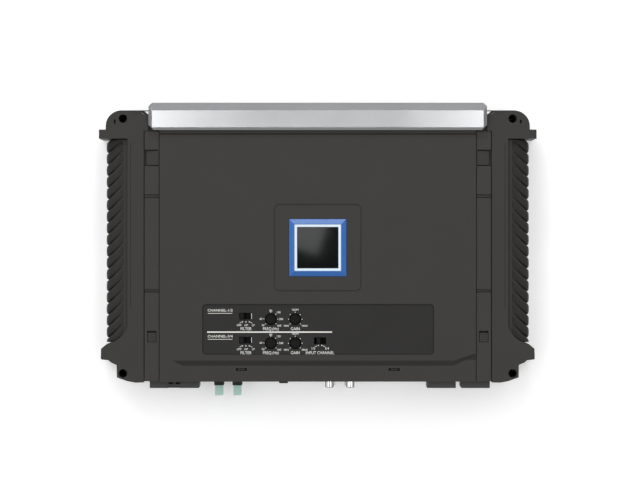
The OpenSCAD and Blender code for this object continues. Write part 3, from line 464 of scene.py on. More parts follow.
def slab(bm, low, high):
    """A box between two corners."""
    size = [b - a for a, b in zip(low, high)]
    middle = [(a + b) / 2 for a, b in zip(low, high)]
    place = Matrix.Translation(middle) @ Matrix.Diagonal((*size, 1.0))
    return bmesh.ops.create_cube(bm, size=1.0, matrix=place)["verts"]


def prism(bm, outline, start, end, put):
    """An outline of two numbers a point, drawn out from start to end; put makes the 3-D point."""
    rings = [[bm.verts.new(put(a, b, along)) for a, b in outline] for along in (start, end)]
    count = len(outline)
    for i in range(count):
        k = (i + 1) % count
        bm.faces.new((rings[0][i], rings[0][k], rings[1][k], rings[1][i]))
    bm.faces.new(rings[0][::-1])
    bm.faces.new(rings[1])


def outward(bm):
    """Welds a shape's corners and turns its faces outwards."""
    bmesh.ops.remove_doubles(bm, verts=bm.verts, dist=FINE_WELD)
    bmesh.ops.recalc_face_normals(bm, faces=bm.faces)


# --- Geometry Nodes: one shape repeated along a row or at chosen places ---

def repeat_tree(name, ports):
    """An empty tree with a geometry output and the named inputs."""
    tree = bpy.data.node_groups.new(name, "GeometryNodeTree")
    tree.interface.new_socket("Geometry", in_out="OUTPUT", socket_type="NodeSocketGeometry")
    tree.interface.new_socket("Geometry", in_out="INPUT", socket_type="NodeSocketGeometry")
    for port, kind in ports:
        tree.interface.new_socket(port, in_out="INPUT", socket_type="NodeSocket" + kind)
    return tree, tree.nodes.new("NodeGroupInput"), tree.nodes.new("NodeGroupOutput")


def finish_copies(tree, inside, outside, points, point_port):
    """Sets the original on every point, makes it real and gives it the finish."""
    link = tree.links.new
    original = tree.nodes.new("GeometryNodeObjectInfo")
    copies = tree.nodes.new("GeometryNodeInstanceOnPoints")
    real = tree.nodes.new("GeometryNodeRealizeInstances")
    coat = tree.nodes.new("GeometryNodeSetMaterial")
    link(inside.outputs["Original"], original.inputs["Object"])
    link(points.outputs[point_port], copies.inputs["Points"])
    link(original.outputs["Geometry"], copies.inputs["Instance"])
    link(copies.outputs["Instances"], real.inputs["Geometry"])
    link(real.outputs["Geometry"], coat.inputs["Geometry"])
    link(inside.outputs["Finish"], coat.inputs["Material"])
    link(coat.outputs["Geometry"], outside.inputs["Geometry"])


def row_tree():
    """Copies of one shape at even steps along a straight line."""
    tree, inside, outside = repeat_tree("Row of copies", [
        ("Original", "Object"), ("Count", "Int"), ("Start", "Vector"), ("Step", "Vector"),
        ("Finish", "Material")])
    line = tree.nodes.new("GeometryNodeMeshLine")
    line.mode = "OFFSET"
    for port, target in (("Count", "Count"), ("Start", "Start Location"), ("Step", "Offset")):
        tree.links.new(inside.outputs[port], line.inputs[target])
    finish_copies(tree, inside, outside, line, "Mesh")
    return tree


def places_tree():
    """Copies of one shape at each point of the modified mesh."""
    tree, inside, outside = repeat_tree("Copies at places", [
        ("Original", "Object"), ("Finish", "Material")])
    finish_copies(tree, inside, outside, inside, "Geometry")
    return tree


TREES = {}


def grown(tree_maker, host, name, values):
    """Runs a repeat tree on a host object and returns the plain result."""
    if tree_maker not in TREES:
        TREES[tree_maker] = tree_maker()
    tree = TREES[tree_maker]
    modifier = host.modifiers.new("Copies", "NODES")
    modifier.node_group = tree
    for item in tree.interface.items_tree:
        if item.item_type == "SOCKET" and item.in_out == "INPUT" and item.name in values:
            modifier[item.identifier] = values[item.name]
    return baked(host, name)


def row_of(original, name, count, start, step, finish):
    """A row of copies of the original, which is used up."""
    host = new_object(name + "_row", bpy.data.meshes.new(name))
    made = grown(row_tree, host, name, {"Original": original, "Count": count,
                                        "Start": start, "Step": step, "Finish": paint(finish)})
    bpy.data.objects.remove(original)
    return made


def copies_at(original, name, places, finish):
    """Copies of the original at each place, which is used up."""
    mesh = bpy.data.meshes.new(name + "_places")
    mesh.from_pydata([tuple(place) for place in places], [], [])
    made = grown(places_tree, new_object(name + "_places", mesh), name,
                 {"Original": original, "Finish": paint(finish)})
    bpy.data.objects.remove(original)
    return made


# --- Fasteners ---

def islands(node):
    """The low and high corners of the box round each separate solid in a CAD node."""
    bm = bmesh.new()
    bm.from_mesh(frame["nodes"][node].data)
    bmesh.ops.remove_doubles(bm, verts=bm.verts, dist=WELD)
    left, found = set(bm.verts), []
    while left:
        todo, group = [left.pop()], []
        while todo:
            vert = todo.pop()
            group.append(vert.co.copy())
            for edge in vert.link_edges:
                other = edge.other_vert(vert)
                if other in left:
                    left.discard(other)
                    todo.append(other)
        low = Vector(min(co[i] for co in group) for i in range(3))
        high = Vector(max(co[i] for co in group) for i in range(3))
        found.append((low, high))
    bm.free()
    return sorted(found, key=lambda pair: tuple(round(v, 4) for v in pair[0]))


def pan_head(name, radius, high, shank, reach, axis):
    """One screw with a domed head and a cross recess, its head's foot at the origin."""
    bm = bmesh.new()
    dome = [(radius * math.sin(a), high * (0.45 + 0.55 * math.cos(a)))
            for a in (math.radians(step) for step in (90, 70, 50, 34))]
    well = radius * 0.34
    profile = [(0.0, -reach), (shank * 0.7, -reach), (shank, -reach + shank * 0.5), (shank, 0.0),
               (radius, 0.0)] + dome + [(well, high * 0.93), (well * 0.8, high * 0.4),
                                         (0.0, high * 0.35)]
    lathe(bm, profile, (0, 0, 0), (0, 0, 1), 28)
    for turn in (20, 110):
        verts = slab(bm, (-radius * 0.52, -radius * 0.1, high * 0.42),
                     (radius * 0.52, radius * 0.1, high * 0.9))
        bmesh.ops.transform(bm, matrix=Matrix.Rotation(math.radians(turn), 4, "Z"), verts=verts)
    outward(bm)
    turn = Vector((0, 0, 1)).rotation_difference(Vector(axis)).to_matrix().to_4x4()
    bmesh.ops.transform(bm, matrix=turn, verts=bm.verts)
    return from_bmesh(name, bm)


SHANK = 1.4 * MM


def screws(node, axis, head_high, head_radius, solids=None, stands_for=True):
    """Puts detailed screws in place of like ones that point one way; sizes in millimetres."""
    way = Vector(axis)
    head_high, head_radius = head_high * MM, head_radius * MM
    places = []
    for low, high in solids or islands(node):
        half = abs((high - low).dot(way)) / 2
        reach = 2 * half - head_high
        places.append((low + high) / 2 + way * (half - head_high))
    name = f"{node}_heads_{'xyz'[max(range(3), key=lambda i: abs(way[i]))]}{int(sum(way)) + 1}"
    head = pan_head(name, head_radius, head_high, SHANK, reach, axis)
    settle(copies_at(head, name, places, SLOTS[node]), CASE, None,
           [node] if stands_for else ())


# --- Pieces ---

def build_case(s):
    """Extruded chassis, front and rear panels, mounting sleeves."""
    for node in ("chassis", "front_panel", "rear_panel", "mounting_sleeves"):
        softened(node, s.crisp_edge)


RIB_ROOT = 14.2 * MM      # from the block's inner face to where the ribs begin
RIB_FALL = 5.4 * MM       # how far a rib falls on its way outwards
RIB_TURN = 3.0 * MM       # radius of its outer corner
RIB_SLANT = math.tan(math.radians(40))
RIB_MARGIN = 0.4 * MM     # from the ribs to the block's top, foot and ends
RIB_BACK = 1.2 * MM       # thickness of a rib below its edges
WEB_INSET = 2.4 * MM      # from the block's outer face to the web's
WEB_SHOULDER = 14.3 * MM  # width of the web's level top
WEB_FRONT = 0.3 * MM      # from the block's front to the web's


def rib_shape(s, side):
    """One slanting rib: a crowned band that runs out over the top and down the side."""
    low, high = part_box("fin_block_right")
    out = high.x - s.rib_crown * 0.95
    root = low.x + RIB_ROOT
    top, bottom = high.z - RIB_MARGIN, low.z + RIB_MARGIN
    fall, turn = RIB_FALL, RIB_TURN
    half = (s.rib_pitch - s.rib_gap) / 2
    path = [(root - 0.8 * MM, top - 1.2 * MM, 0.0), (root, top, 1.0)]
    slope = math.atan2(fall, out - root)
    for i in range(1, 6):
        share = i / 6
        path.append((root + (out - turn - root) * share, top - fall * share, 1.0))
    for i in range(6):
        bend = slope + (math.pi / 2 - slope) * i / 5
        path.append((out - turn + turn * math.sin(bend), top - fall - turn * (1 - math.cos(bend)),
                     1.0))
    path += [(out, bottom + 6 * MM, 1.0), (out, bottom + 0.5 * MM, 1.0),
             (out - 0.8 * MM, bottom, 0.0)]
    bm = bmesh.new()
    rows = []
    count = s.rib_steps
    for k, (x, z, lift) in enumerate(path):
        before, after = path[max(k - 1, 0)], path[min(k + 1, len(path) - 1)]
        along = Vector((after[0] - before[0], 0, after[1] - before[1])).normalized()
        up = Vector((-along.z, 0, along.x))
        drift = -(min(x, out) - root) * RIB_SLANT
        row = []
        for j in range(count + 1):
            v = -1 + 2 * j / count
            crown = s.rib_crown * lift * math.sqrt(max(0.0, 1 - abs(v) ** 2.6))
            spot = Vector((x, half * v + drift, z)) + up * crown
            row.append(bm.verts.new(spot))
        inner = Vector((x, 0, z)) - up * RIB_BACK
        row.append(bm.verts.new(Vector((inner.x, half + drift, inner.z))))
        row.append(bm.verts.new(Vector((inner.x, -half + drift, inner.z))))
        rows.append(row)
    wide = len(rows[0])
    for a, b in zip(rows, rows[1:]):
        for j in range(wide):
            k = (j + 1) % wide
            bm.faces.new((a[j], a[k], b[k], b[j]))
    bm.faces.new(rows[0])
    bm.faces.new(rows[-1][::-1])
    if side < 0:
        bmesh.ops.scale(bm, vec=(-1, 1, 1), verts=bm.verts)
    outward(bm)
    return from_bmesh("rib", bm, 50)


def fin_body(name, side):
    """The web behind the ribs: a block with a shoulder that falls away outwards."""
    low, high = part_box("fin_block_right")
    out, top, shoulder = high.x - WEB_INSET, high.z, low.x + WEB_SHOULDER
    section = [(low.x, low.z), (out, low.z), (out, top - 7.4 * MM),
               (shoulder + 1.2 * MM, top - 1.1 * MM), (shoulder, top), (low.x, top)]
    bm = bmesh.new()
    prism(bm, section, low.y + WEB_FRONT, high.y, lambda x, z, y: (side * x, y, z))
    outward(bm)
    bmesh.ops.bevel(bm, geom=list(bm.edges), offset=0.3 * MM, segments=2, affect="EDGES",
                    clamp_overlap=True)
    return from_bmesh(name, bm)


def build_ribs(s):
    """The ribbed side heatsinks."""
    for word, side in SIDES:
        node = "fin_block_" + word
        low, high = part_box("fin_block_right")
        count = int((high.y - low.y - 8 * MM) / s.rib_pitch)
        first = high.y + s.rib_pitch * 0.5 - RIB_MARGIN
        ribs = row_of(rib_shape(s, side), node + "_ribs", count + 2, (0, first, 0),
                      (0, -s.rib_pitch, 0), "fin_metal")
        clip_end(ribs, low.y, -1)
        clip_end(ribs, high.y, 1)
        body = fin_body(node + "_web", side)
        settle(ribs, CASE, "fin_metal")
        settle(body, CASE, "fin_metal", [node])


def clip_end(piece, y, facing):
    """Cuts off and caps what lies past a plane across the case."""
    bm = bmesh.new()
    bm.from_mesh(piece.data)
    cut = bmesh.ops.bisect_plane(bm, geom=bm.verts[:] + bm.edges[:] + bm.faces[:], dist=FINE_WELD,
                                 plane_co=(0, y, 0), plane_no=(0, facing, 0), clear_outer=True)
    edges = [item for item in cut["geom_cut"] if isinstance(item, bmesh.types.BMEdge)]
    bmesh.ops.holes_fill(bm, edges=edges, sides=0)
    bm.to_mesh(piece.data)
    bm.free()


def build_caps(s):
    """End caps with their posts and lugs."""
    for word, _ in SIDES:
        softened("end_cap_" + word, s.soft_edge, 3)


def build_cover(s):
    """Top cover."""
    softened("top_cover", s.soft_edge * 0.8)


def build_strips(s):
    """Side strips and their latch buttons."""
    for word, _ in SIDES:
        softened("side_strip_" + word, s.soft_edge * 0.7)
        softened("latch_" + word, s.soft_edge, 3)


def build_trim(s):
    """Bright trim bar."""
    softened("trim_bar", s.crisp_edge)


def build_badge(s):
    """Blue bezel, lit frame and black window, with no mark on it."""
    softened("badge_bezel", s.crisp_edge, 3)
    softened("badge_frame", s.crisp_edge)
    softened("badge_window", s.crisp_edge)


KNOBS = ("knob_freq_back", "knob_freq_front", "knob_gain_back", "knob_gain_front")
KNOB_SKIRT = 5.2 * MM     # height of a knob above its shaft
KNOB_SHAFT = 1.5 * MM     # radius of the shaft
KNURLS = 24
KNURL = 0.24 * MM         # radius of one knurl


def knob_piece(node):
    """A round knob with a fine knurl and a screwdriver slot, on its shaft."""
    low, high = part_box(node)
    centre = ((low.x + high.x) / 2, (low.y + high.y) / 2, 0)
    radius = (high.x - low.x) / 2
    top = high.z
    skirt = top - KNOB_SKIRT
    bm = bmesh.new()
    profile = [(0.0, low.z), (KNOB_SHAFT, low.z), (KNOB_SHAFT, skirt), (radius * 0.94, skirt),
               (radius * 0.94, top - 0.55 * MM), (radius * 0.84, top), (radius * 0.62, top),
               (radius * 0.58, top - 0.25 * MM), (0.0, top - 0.25 * MM)]
    lathe(bm, profile, centre, (0, 0, 1), 48)
    for turn in range(KNURLS):
        angle = 2 * math.pi * turn / KNURLS
        spot = (centre[0] + radius * 0.93 * math.cos(angle),
                centre[1] + radius * 0.93 * math.sin(angle), 0)
        lathe(bm, [(0.0, skirt + 0.1 * MM), (KNURL, skirt + 0.1 * MM),
                   (KNURL, top - 0.75 * MM), (0.0, top - 0.6 * MM)], spot, (0, 0, 1), 6)
    outward(bm)
    body = from_bmesh(node + "_turned", bm)
    cutter_bm = bmesh.new()
    slab(cutter_bm, (centre[0] - 0.5 * MM, centre[1] - radius * 0.8, top - 1.0 * MM),
         (centre[0] + 0.5 * MM, centre[1] + radius * 0.8, top + 1 * MM))
    cutter = from_bmesh("slot_cutter", cutter_bm)
    cut = body.modifiers.new("Slot", "BOOLEAN")
    cut.object = cutter
    cut.solver = "EXACT"
    body = baked(body, node + "_cut")
    bpy.data.objects.remove(cutter)
    bm = bmesh.new()
    bm.from_mesh(body.data)
    bpy.data.objects.remove(body)
    outward(bm)
    body = from_bmesh(node + "_turned", bm, 30)
    return settle(body, BODY_OF[node], "knob_black", [node])


def build_controls(s):
    """Control plate, knobs, sliders and their print."""
    softened("control_plate", s.crisp_edge * 0.7)
    for node in KNOBS:
        knob_piece(node)
    for node in ("slider_filter_back", "slider_filter_front", "slider_input"):
        softened(node, s.crisp_edge)
    build_print(s)


class Ink:
    """Collects flat printed marks on the control plate."""

    def __init__(self, s):
        self.bm = bmesh.new()
        self.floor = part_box("control_plate")[1].z + 0.005 * MM
        self.thick = s.print_height

    def words(self, text, x, y, size, lean=0.0, wide=1.0):
        """Text centred on a point, with capitals of that height."""
        curve = bpy.data.curves.new("print", "FONT")
        curve.body = text
        curve.align_x = "CENTER"
        curve.align_y = "CENTER"
        curve.size = size * MM * 1.42
        curve.shear = lean
        curve.extrude = self.thick / 2
        curve.offset = 0.012 * MM
        curve.resolution_u = 3
        letter = bpy.data.objects.new("print", curve)
        mesh = bpy.data.meshes.new_from_object(letter)
        mesh.transform(Matrix.Translation((x * MM, y * MM, self.floor + self.thick / 2))
                       @ Matrix.Diagonal((wide, 1.0, 1.0, 1.0)))
        self.bm.from_mesh(mesh)
        bpy.data.objects.remove(letter)

    def bar(self, x0, y0, x1, y1, thick):
        """A straight line of that thickness."""
        start, end = Vector((x0, y0, 0)) * MM, Vector((x1, y1, 0)) * MM
        side = (end - start).normalized().cross(Vector((0, 0, 1))) * thick * MM / 2
        ring = [start + side, end + side, end - side, start - side]
        low = [self.bm.verts.new(spot + Vector((0, 0, self.floor))) for spot in ring]
        high = [self.bm.verts.new(spot + Vector((0, 0, self.floor + self.thick))) for spot in ring]
        self.bm.faces.new(low[::-1])
        self.bm.faces.new(high)
        for i in range(4):
            k = (i + 1) % 4
            self.bm.faces.new((low[i], low[k], high[k], high[i]))

    def tick(self, x, y, lean):
        """A short mark beside a knob, pointing away from it."""
        near, far = 4.25, 5.0
        self.bar(x + near * math.cos(lean), y + near * math.sin(lean),
                 x + far * math.cos(lean), y + far * math.sin(lean), 0.36)

    def dot(self, x, y, radius):
        lathe(self.bm, [(0.0, 0.0), (radius * MM, 0.0), (radius * MM, self.thick),
                        (0.0, self.thick)], (x * MM, y * MM, self.floor), (0, 0, 1), 12)


def build_print(s):
    """Plain function words, numbers and ticks round the controls."""
    ink = Ink(s)
    knobs = {node: (sum(corner.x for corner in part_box(node)) / 2 / MM,
                    sum(corner.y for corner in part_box(node)) / 2 / MM)
             for node in KNOBS}
    for row, title, rise in (("back", "CHANNEL-1/2", 5.8), ("front", "CHANNEL-3/4", 4.5)):
        fx, fy = knobs["knob_freq_" + row]
        gx, gy = knobs["knob_gain_" + row]
        ink.words(title, fx - 33.8, fy + rise, 1.75, wide=1.08)
        ink.bar(fx - 42.0, fy + rise - 1.9, fx - 25.6, fy + rise - 1.9, 0.3)
        for turn, text, out in ((222, "50", 7.0), (178, "60", 6.6), (90, "80", 6.4),
                                (45, "120", 7.3), (0, "200", 6.9), (-42, "400", 7.5)):
            lean = math.radians(turn)
            ink.tick(fx, fy, lean)
            ink.words(text, fx + out * math.cos(lean), fy + out * math.sin(lean) * 0.88, 1.3)
        ink.words("FREQ.(Hz)", fx, fy - 6.5, 2.0, wide=0.86)
        for turn in (180, 138, 42, 0):
            lean = math.radians(turn)
            ink.dot(gx + 4.5 * math.cos(lean), gy + 4.5 * math.sin(lean), 0.3)
        for turn in (90, 222, -42):
            ink.tick(gx, gy, math.radians(turn))
        ink.words("NOM", gx, gy + 6.2, 1.3)
        ink.words("MIN", gx - 6.0, gy - 4.5, 1.3)
        ink.words("MAX", gx + 6.3, gy - 4.5, 1.3)
        ink.words("GAIN", gx, gy - 6.5, 2.0, wide=0.9)
        sx = fx - 16.6
        for step, text in ((-2.3, "OFF"), (0.0, "HP"), (2.3, "LP")):
            ink.dot(sx + step, fy - 1.8, 0.38)
            ink.words(text, sx + step * 2.05, fy - 4.1, 1.3, lean=0.25)
        for way in (-1, 1):
            ink.bar(sx + way * 2.9, fy - 1.95, sx + way * 4.3, fy - 2.7, 0.25)
        ink.words("FILTER", sx, fy - 6.5, 2.0, wide=0.9)
        ink.bar(sx + 3.75, fy + 3.9, sx + 3.75, fy + 0.2, 0.3)
    fx, fy = knobs["knob_freq_front"]
    low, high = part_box("slider_input")
    ix = (low.x + high.x) / 2 / MM + 1.1
    for way, text in ((-1, "1/2"), (1, "3/4")):
        ink.dot(ix + way * 1.15, fy - 1.5, 0.36)
        ink.bar(ix + way * 1.8, fy - 1.7, ix + way * 3.4, fy - 2.4, 0.25)
        ink.words(text, ix + way * 4.6, fy - 3.6, 1.5)
    ink.words("INPUT CHANNEL", ix - 0.1, fy - 6.5, 2.0, wide=0.86)
    ink.bar(fx - 42.5, fy + 7.4, fx + 40.8, fy + 7.4, 0.85)
    outward(ink.bm)
    settle(from_bmesh("control_print", ink.bm), CASE, "ink")


def feet(solids):
    """The middle of each solid's back face."""
    return [((a.x + b.x) / 2, b.y, (a.z + b.z) / 2) for a, b in solids]


def build_phono(s):
    """Phono jacks: plated shells with rolled lips and coloured inserts."""
    shells = islands("rca_shells")
    low, high = shells[0]
    radius = (high.x - low.x) / 2
    long = high.y - low.y
    bm = bmesh.new()
    wall = 0.5 * MM
    roll = [(radius, 0.0), (radius, long - 0.5 * MM), (radius - 0.12 * MM, long - 0.15 * MM),
            (radius - 0.25 * MM, long), (radius - 0.4 * MM, long - 0.1 * MM),
            (radius - wall, long - 0.4 * MM), (radius - wall, 0.0), (radius, 0.0)]
    lathe(bm, roll, (0, 0, 0), (0, -1, 0), 48)
    lathe(bm, [(radius - 0.02 * MM, 0.02 * MM), (radius + 0.9 * MM, 0.02 * MM),
               (radius + 0.9 * MM, 0.6 * MM), (radius - 0.02 * MM, 0.9 * MM),
               (radius - 0.02 * MM, 0.02 * MM)], (0, 0, 0), (0, -1, 0), 48)
    outward(bm)
    made = copies_at(from_bmesh("shell", bm), "phono_shells", feet(shells), "nickel")
    settle(made, CASE, None, ["rca_shells"])
    build_inserts()


def build_inserts():
    """Coloured inserts of the phono jacks, white at the left and red at the right."""
    solids = islands("rca_inserts")
    low, high = solids[0]
    long = high.y - low.y
    radius = (high.x - low.x) / 2
    bore = 1.65 * MM
    middle = sum((a.x + b.x) / 2 for a, b in solids) / len(solids)
    for finish, keep in (("insert_white", lambda x: x < middle),
                         ("insert_red", lambda x: x >= middle)):
        bm = bmesh.new()
        lathe(bm, [(0.0, 0.0), (radius, 0.0), (radius, long - 0.2 * MM), (radius - 0.2 * MM, long),
                   (bore + 0.5 * MM, long), (bore, long - 0.5 * MM), (bore, long - 7 * MM),
                   (0.0, long - 7 * MM)], (0, 0, 0), (0, -1, 0), 40)
        outward(bm)
        places = [foot for foot in feet(solids) if keep(foot[0])]
        made = copies_at(from_bmesh("insert", bm), "phono_" + finish, places, finish)
        nodes = ["rca_inserts"] if finish == "insert_white" else ()
        settle(made, CASE, None, nodes)


def fuse_piece(word):
    """A blade fuse: a tinted body with a thumb ridge, and two flat blades."""
    node = "fuse_" + word
    low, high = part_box(node)
    softened(node, 0.5 * MM, 3)
    softened(node + "_blades", 0.1 * MM, 1)
    bm = bmesh.new()
    middle = (low + high) / 2
    for step in (-1, 1):
        x = middle.x + step * (high.x - low.x) / 2
        slab(bm, (x - 0.12 * MM, low.y + 2.2 * MM, middle.z - 6.5 * MM),
             (x + 0.12 * MM, low.y + 3.0 * MM, middle.z + 6.5 * MM))
    outward(bm)
    settle(from_bmesh(node + "_ridges", bm), node, "fuse_green")


def build_fuses(s):
    """Fuses and their holder."""
    softened("fuse_holder", s.crisp_edge)
    for word, _ in SIDES:
        fuse_piece(word)


def build_terminals(s):
    """Terminal blocks and their screws; the clamping plates keep their CAD shapes."""
    for node in ("power_block", "speaker_blocks"):
        softened(node, s.soft_edge * 0.7)
    for node in ("power_screws", "speaker_screws"):
        screws(node, (0, -1, 0), 2.0, 2.9)


def build_jack(s):
    """Small round jack."""
    softened("remote_jack", s.crisp_edge)


def build_fasteners(s):
    """Screws of the panels, the end caps, the cover and the trim bar."""
    solids = islands("panel_screws")
    front = [pair for pair in solids if pair[0].y < 0]
    back = [pair for pair in solids if pair[0].y > 0]
    screws("panel_screws", (0, -1, 0), 1.8, 2.8, front)
    screws("panel_screws", (0, 1, 0), 1.8, 2.8, back, stands_for=False)
    for node, axis, high, radius in (("end_cap_screws", (0, 0, -1), 1.0, 2.8),
                                     ("cover_screws", (0, 0, 1), 1.4, 2.3),
                                     ("trim_bar_screws", (0, 0, -1), 0.9, 2.4),
                                     ("board_screws", (0, 0, 1), 1.8, 2.8)):
        screws(node, axis, high, radius)


INSIDE = ("badge_light_board", "main_board", "board_standoffs", "transformer_core",
          "transformer_winding", "filter_capacitors", "output_coils", "power_transistors",
          "transistor_clamps", "clamp_screws", "control_board", "board_link", "pot_bodies",
          "switch_bodies", "rca_housing", "power_plates", "speaker_plates")


def build_inside(s):
    """Boards, windings, plates and other pieces inside the case keep their CAD shapes."""
    for node in INSIDE:
        piece = frame["nodes"][node]
        piece.data.materials.clear()
        piece.data.materials.append(paint(SLOTS[node]))


# --- Stage ---

AIM = Vector((0, 0, 0.03))         # where the lamps point
PAINTED_HOLE_SHADE = 3.4 * MM              # radius of the dark discs of painted shade on the floor under the mounting holes


def soft_lamp(name, place, size, power):
    lamp = bpy.data.lights.new(name, "AREA")
    lamp.shape = "RECTANGLE"
    lamp.size, lamp.size_y = size
    lamp.energy = power
    made = bpy.data.objects.new(name, lamp)
    made.location = place
    made.rotation_euler = (AIM - Vector(place)).to_track_quat("-Z", "Y").to_euler()
    bpy.context.scene.collection.objects.link(made)
    return made


# The room's greys, as places from -1 to 1 and brightness: dim walls low down, bright between
SIDE_WALLS = ((-0.9, 0.3), (-0.82, 1.0), (0.66, 1.0), (0.88, 0.3))
END_WALLS = ((-0.88, 0.35), (-0.48, 1.0), (0.76, 1.0), (0.9, 0.4))


def wall_greys(tree, coordinate, stops):
    """The room's brightness along one axis."""
    across = tree.nodes.new("ShaderNodeMapRange")
    across.inputs["From Min"].default_value = -1.0
    tree.links.new(coordinate, across.inputs["Value"])
    ramp = tree.nodes.new("ShaderNodeValToRGB")
    marks = ramp.color_ramp.elements
    while len(marks) < len(stops):
        marks.new(0.5)
    for mark, (where, grey) in zip(marks, stops):
        mark.position = (where + 1) / 2
        mark.color = (grey, grey, grey, 1.0)
    tree.links.new(across.outputs["Result"], ramp.inputs[0])
    return ramp.outputs["Color"]


def studio_world(strength):
    """A pale room that is darker straight overhead, where the camera stands."""
    world = bpy.data.worlds.new("studio")
    world.use_nodes = True
    tree = world.node_tree
    tree.nodes.clear()
    place = tree.nodes.new("ShaderNodeTexCoord")
    split = tree.nodes.new("ShaderNodeSeparateXYZ")
    ramp = tree.nodes.new("ShaderNodeMapRange")
    ramp.interpolation_type = "SMOOTHSTEP"
    for port, value in (("From Min", 0.78), ("From Max", 0.9), ("To Min", 0.75 * strength),
                        ("To Max", 0.05 * strength)):
        ramp.inputs[port].default_value = value
    walls = tree.nodes.new("ShaderNodeVectorMath")
    walls.operation = "MULTIPLY"
    back = tree.nodes.new("ShaderNodeBackground")
    out = tree.nodes.new("ShaderNodeOutputWorld")
    for start, end in ((place.outputs["Generated"], split.inputs[0]),
                       (split.outputs["Z"], ramp.inputs["Value"]),
                       (wall_greys(tree, split.outputs["X"], SIDE_WALLS), walls.inputs[0]),
                       (wall_greys(tree, split.outputs["Y"], END_WALLS), walls.inputs[1]),
                       (walls.outputs["Vector"], back.inputs["Color"]),
                       (ramp.outputs["Result"], back.inputs["Strength"]),
                       (back.outputs[0], out.inputs["Surface"])):
        tree.links.new(start, end)
    return world


def paint_hole_shade():
    """Dark discs of painted shade on the floor under the mounting holes; they belong to the stage.
    """
    bm = bmesh.new()
    for low, high in islands("mounting_sleeves"):
        middle = (low + high) / 2
        bmesh.ops.create_circle(bm, cap_ends=True, segments=32, radius=PAINTED_HOLE_SHADE,
                                matrix=Matrix.Translation((middle.x, middle.y, -0.1 * MM)))
    # the discs are painted shade, dark where the holes' own shade falls
    discs = from_bmesh("stage_discs", bm)
    discs.data.materials.append(paint("black_resin"))


def build_stage(stage):
    """Pale floor, soft lamps and the camera overhead."""
    scene = bpy.context.scene
    bm = bmesh.new()
    bmesh.ops.create_grid(bm, x_segments=8, y_segments=8, size=3.0,
                          matrix=Matrix.Translation((0, 0, -0.0002)))
    floor = from_bmesh("stage_floor", bm)
    made = Finish("stage_floor", Roughness=0.9, Emission_Strength=0.3,
                  Emission_Color=(1.0, 1.0, 1.0), Specular_IOR_Level=0.0)
    made.give(Base_Color=made.tint((0.93, 0.93, 0.93), made.noise(3.0), 0.995, 1.0))
    floor.data.materials.append(made.material)
    paint_hole_shade()
    scene.world = studio_world(stage.light)
    power = stage.light
    soft_lamp("lamp_left", (-0.69, 0.1, 2.5), (2.4, 0.84), 18 * power)
    soft_lamp("lamp_right", (0.69, 0.1, 2.5), (2.4, 0.84), 18 * power)
    soft_lamp("lamp_back", (-0.4, 1.9, 1.5), (2.0, 0.3), 20 * power)
    sheen = soft_lamp("lamp_sheen", (-0.040, 0.055, 2.5), (0.12, 0.12), 0.085 * power)
    sheen.rotation_euler = (0.0, 0.0, math.radians(-18))
    camera = bpy.data.cameras.new("camera")
    camera.lens = stage.lens
    camera.sensor_width = 36.0
    camera.clip_start = 0.05
    view = bpy.data.objects.new("camera", camera)
    view.location = (0.0015, 0.004, stage.camera_height)
    scene.collection.objects.link(view)
    scene.camera = view
    scene.view_settings.view_transform = "Standard"


# --- Operators, panel and registration ---

class SizedOperator:
    """Runs its build function with one group of the scene's settings."""
    bl_options = {"REGISTER", "UNDO"}
    settings = "amplifier_sizes"

    def execute(self, context):
        type(self).build(getattr(context.scene, self.settings))
        return {"FINISHED"}


class AMP_OT_case(SizedOperator, bpy.types.Operator):
    """Build the chassis and its end panels"""
    bl_idname = "amplifier.case"
    bl_label = "Case"
    build = staticmethod(build_case)


class AMP_OT_ribs(SizedOperator, bpy.types.Operator):
    """Build the ribbed side heatsinks"""
    bl_idname = "amplifier.ribs"
    bl_label = "Ribbed Sides"
    build = staticmethod(build_ribs)


class AMP_OT_caps(SizedOperator, bpy.types.Operator):
    """Build the end caps"""
    bl_idname = "amplifier.caps"
    bl_label = "End Caps"
    build = staticmethod(build_caps)


class AMP_OT_cover(SizedOperator, bpy.types.Operator):
    """Build the top cover"""
    bl_idname = "amplifier.cover"
    bl_label = "Cover"
    build = staticmethod(build_cover)


class AMP_OT_strips(SizedOperator, bpy.types.Operator):
    """Build the side strips and latches"""
    bl_idname = "amplifier.strips"
    bl_label = "Side Strips"
    build = staticmethod(build_strips)


class AMP_OT_trim(SizedOperator, bpy.types.Operator):
    """Build the bright trim bar"""
    bl_idname = "amplifier.trim"
    bl_label = "Trim Bar"
    build = staticmethod(build_trim)


class AMP_OT_badge(SizedOperator, bpy.types.Operator):
    """Build the lit badge"""
    bl_idname = "amplifier.badge"
    bl_label = "Badge"
    build = staticmethod(build_badge)


class AMP_OT_controls(SizedOperator, bpy.types.Operator):
    """Build the control plate, knobs, sliders and print"""
    bl_idname = "amplifier.controls"
    bl_label = "Controls"
    build = staticmethod(build_controls)


class AMP_OT_phono(SizedOperator, bpy.types.Operator):
    """Build the phono jacks"""
    bl_idname = "amplifier.phono"
    bl_label = "Phono Jacks"
    build = staticmethod(build_phono)


class AMP_OT_fuses(SizedOperator, bpy.types.Operator):
    """Build the fuses and their holder"""
    bl_idname = "amplifier.fuses"
    bl_label = "Fuses"
    build = staticmethod(build_fuses)


class AMP_OT_terminals(SizedOperator, bpy.types.Operator):
    """Build the terminal blocks"""
    bl_idname = "amplifier.terminals"
    bl_label = "Terminals"
    build = staticmethod(build_terminals)


class AMP_OT_jack(SizedOperator, bpy.types.Operator):
    """Build the remote jack"""
    bl_idname = "amplifier.jack"
    bl_label = "Remote Jack"
    build = staticmethod(build_jack)


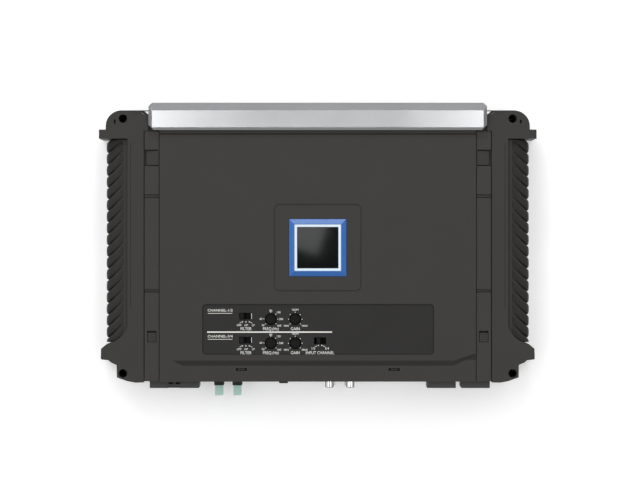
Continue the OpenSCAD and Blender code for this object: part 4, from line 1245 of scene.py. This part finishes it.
class AMP_OT_fasteners(SizedOperator, bpy.types.Operator):
    """Build the screws"""
    bl_idname = "amplifier.fasteners"
    bl_label = "Fasteners"
    build = staticmethod(build_fasteners)


class AMP_OT_inside(SizedOperator, bpy.types.Operator):
    """Finish the pieces inside the case"""
    bl_idname = "amplifier.inside"
    bl_label = "Inside"
    build = staticmethod(build_inside)


class AMP_OT_stage(SizedOperator, bpy.types.Operator):
    """Set up the floor, the lamps and the camera"""
    bl_idname = "amplifier.stage"
    bl_label = "Stage"
    settings = "amplifier_stage"
    build = staticmethod(build_stage)


OPERATORS = (AMP_OT_stage, AMP_OT_case, AMP_OT_ribs, AMP_OT_caps, AMP_OT_cover, AMP_OT_strips,
             AMP_OT_trim, AMP_OT_badge, AMP_OT_controls, AMP_OT_phono, AMP_OT_fuses,
             AMP_OT_terminals, AMP_OT_jack, AMP_OT_fasteners, AMP_OT_inside)


class AMP_PT_panel(bpy.types.Panel):
    """Lists the build steps"""
    bl_idname = "AMP_PT_panel"
    bl_label = "Amplifier"
    bl_space_type = "VIEW_3D"
    bl_region_type = "UI"
    bl_category = "Amplifier"

    def draw(self, context):
        for step in OPERATORS:
            self.layout.operator(step.bl_idname)
        for group in (context.scene.amplifier_sizes, context.scene.amplifier_colours,
                      context.scene.amplifier_stage):
            for key in group.__annotations__:
                self.layout.prop(group, key)


CLASSES = (AmplifierSizes, AmplifierColours, StageSettings, *OPERATORS, AMP_PT_panel)


def register():
    for kind in CLASSES:
        bpy.utils.register_class(kind)
    bpy.types.Scene.amplifier_sizes = PointerProperty(type=AmplifierSizes)
    bpy.types.Scene.amplifier_colours = PointerProperty(type=AmplifierColours)
    bpy.types.Scene.amplifier_stage = PointerProperty(type=StageSettings)


def unregister():
    del bpy.types.Scene.amplifier_stage
    del bpy.types.Scene.amplifier_colours
    del bpy.types.Scene.amplifier_sizes
    for kind in reversed(CLASSES):
        bpy.utils.unregister_class(kind)


def main():
    register()
    for step in OPERATORS:
        group, verb = step.bl_idname.split(".")
        getattr(getattr(bpy.ops, group), verb)()


if __name__ == "__main__":
    main()
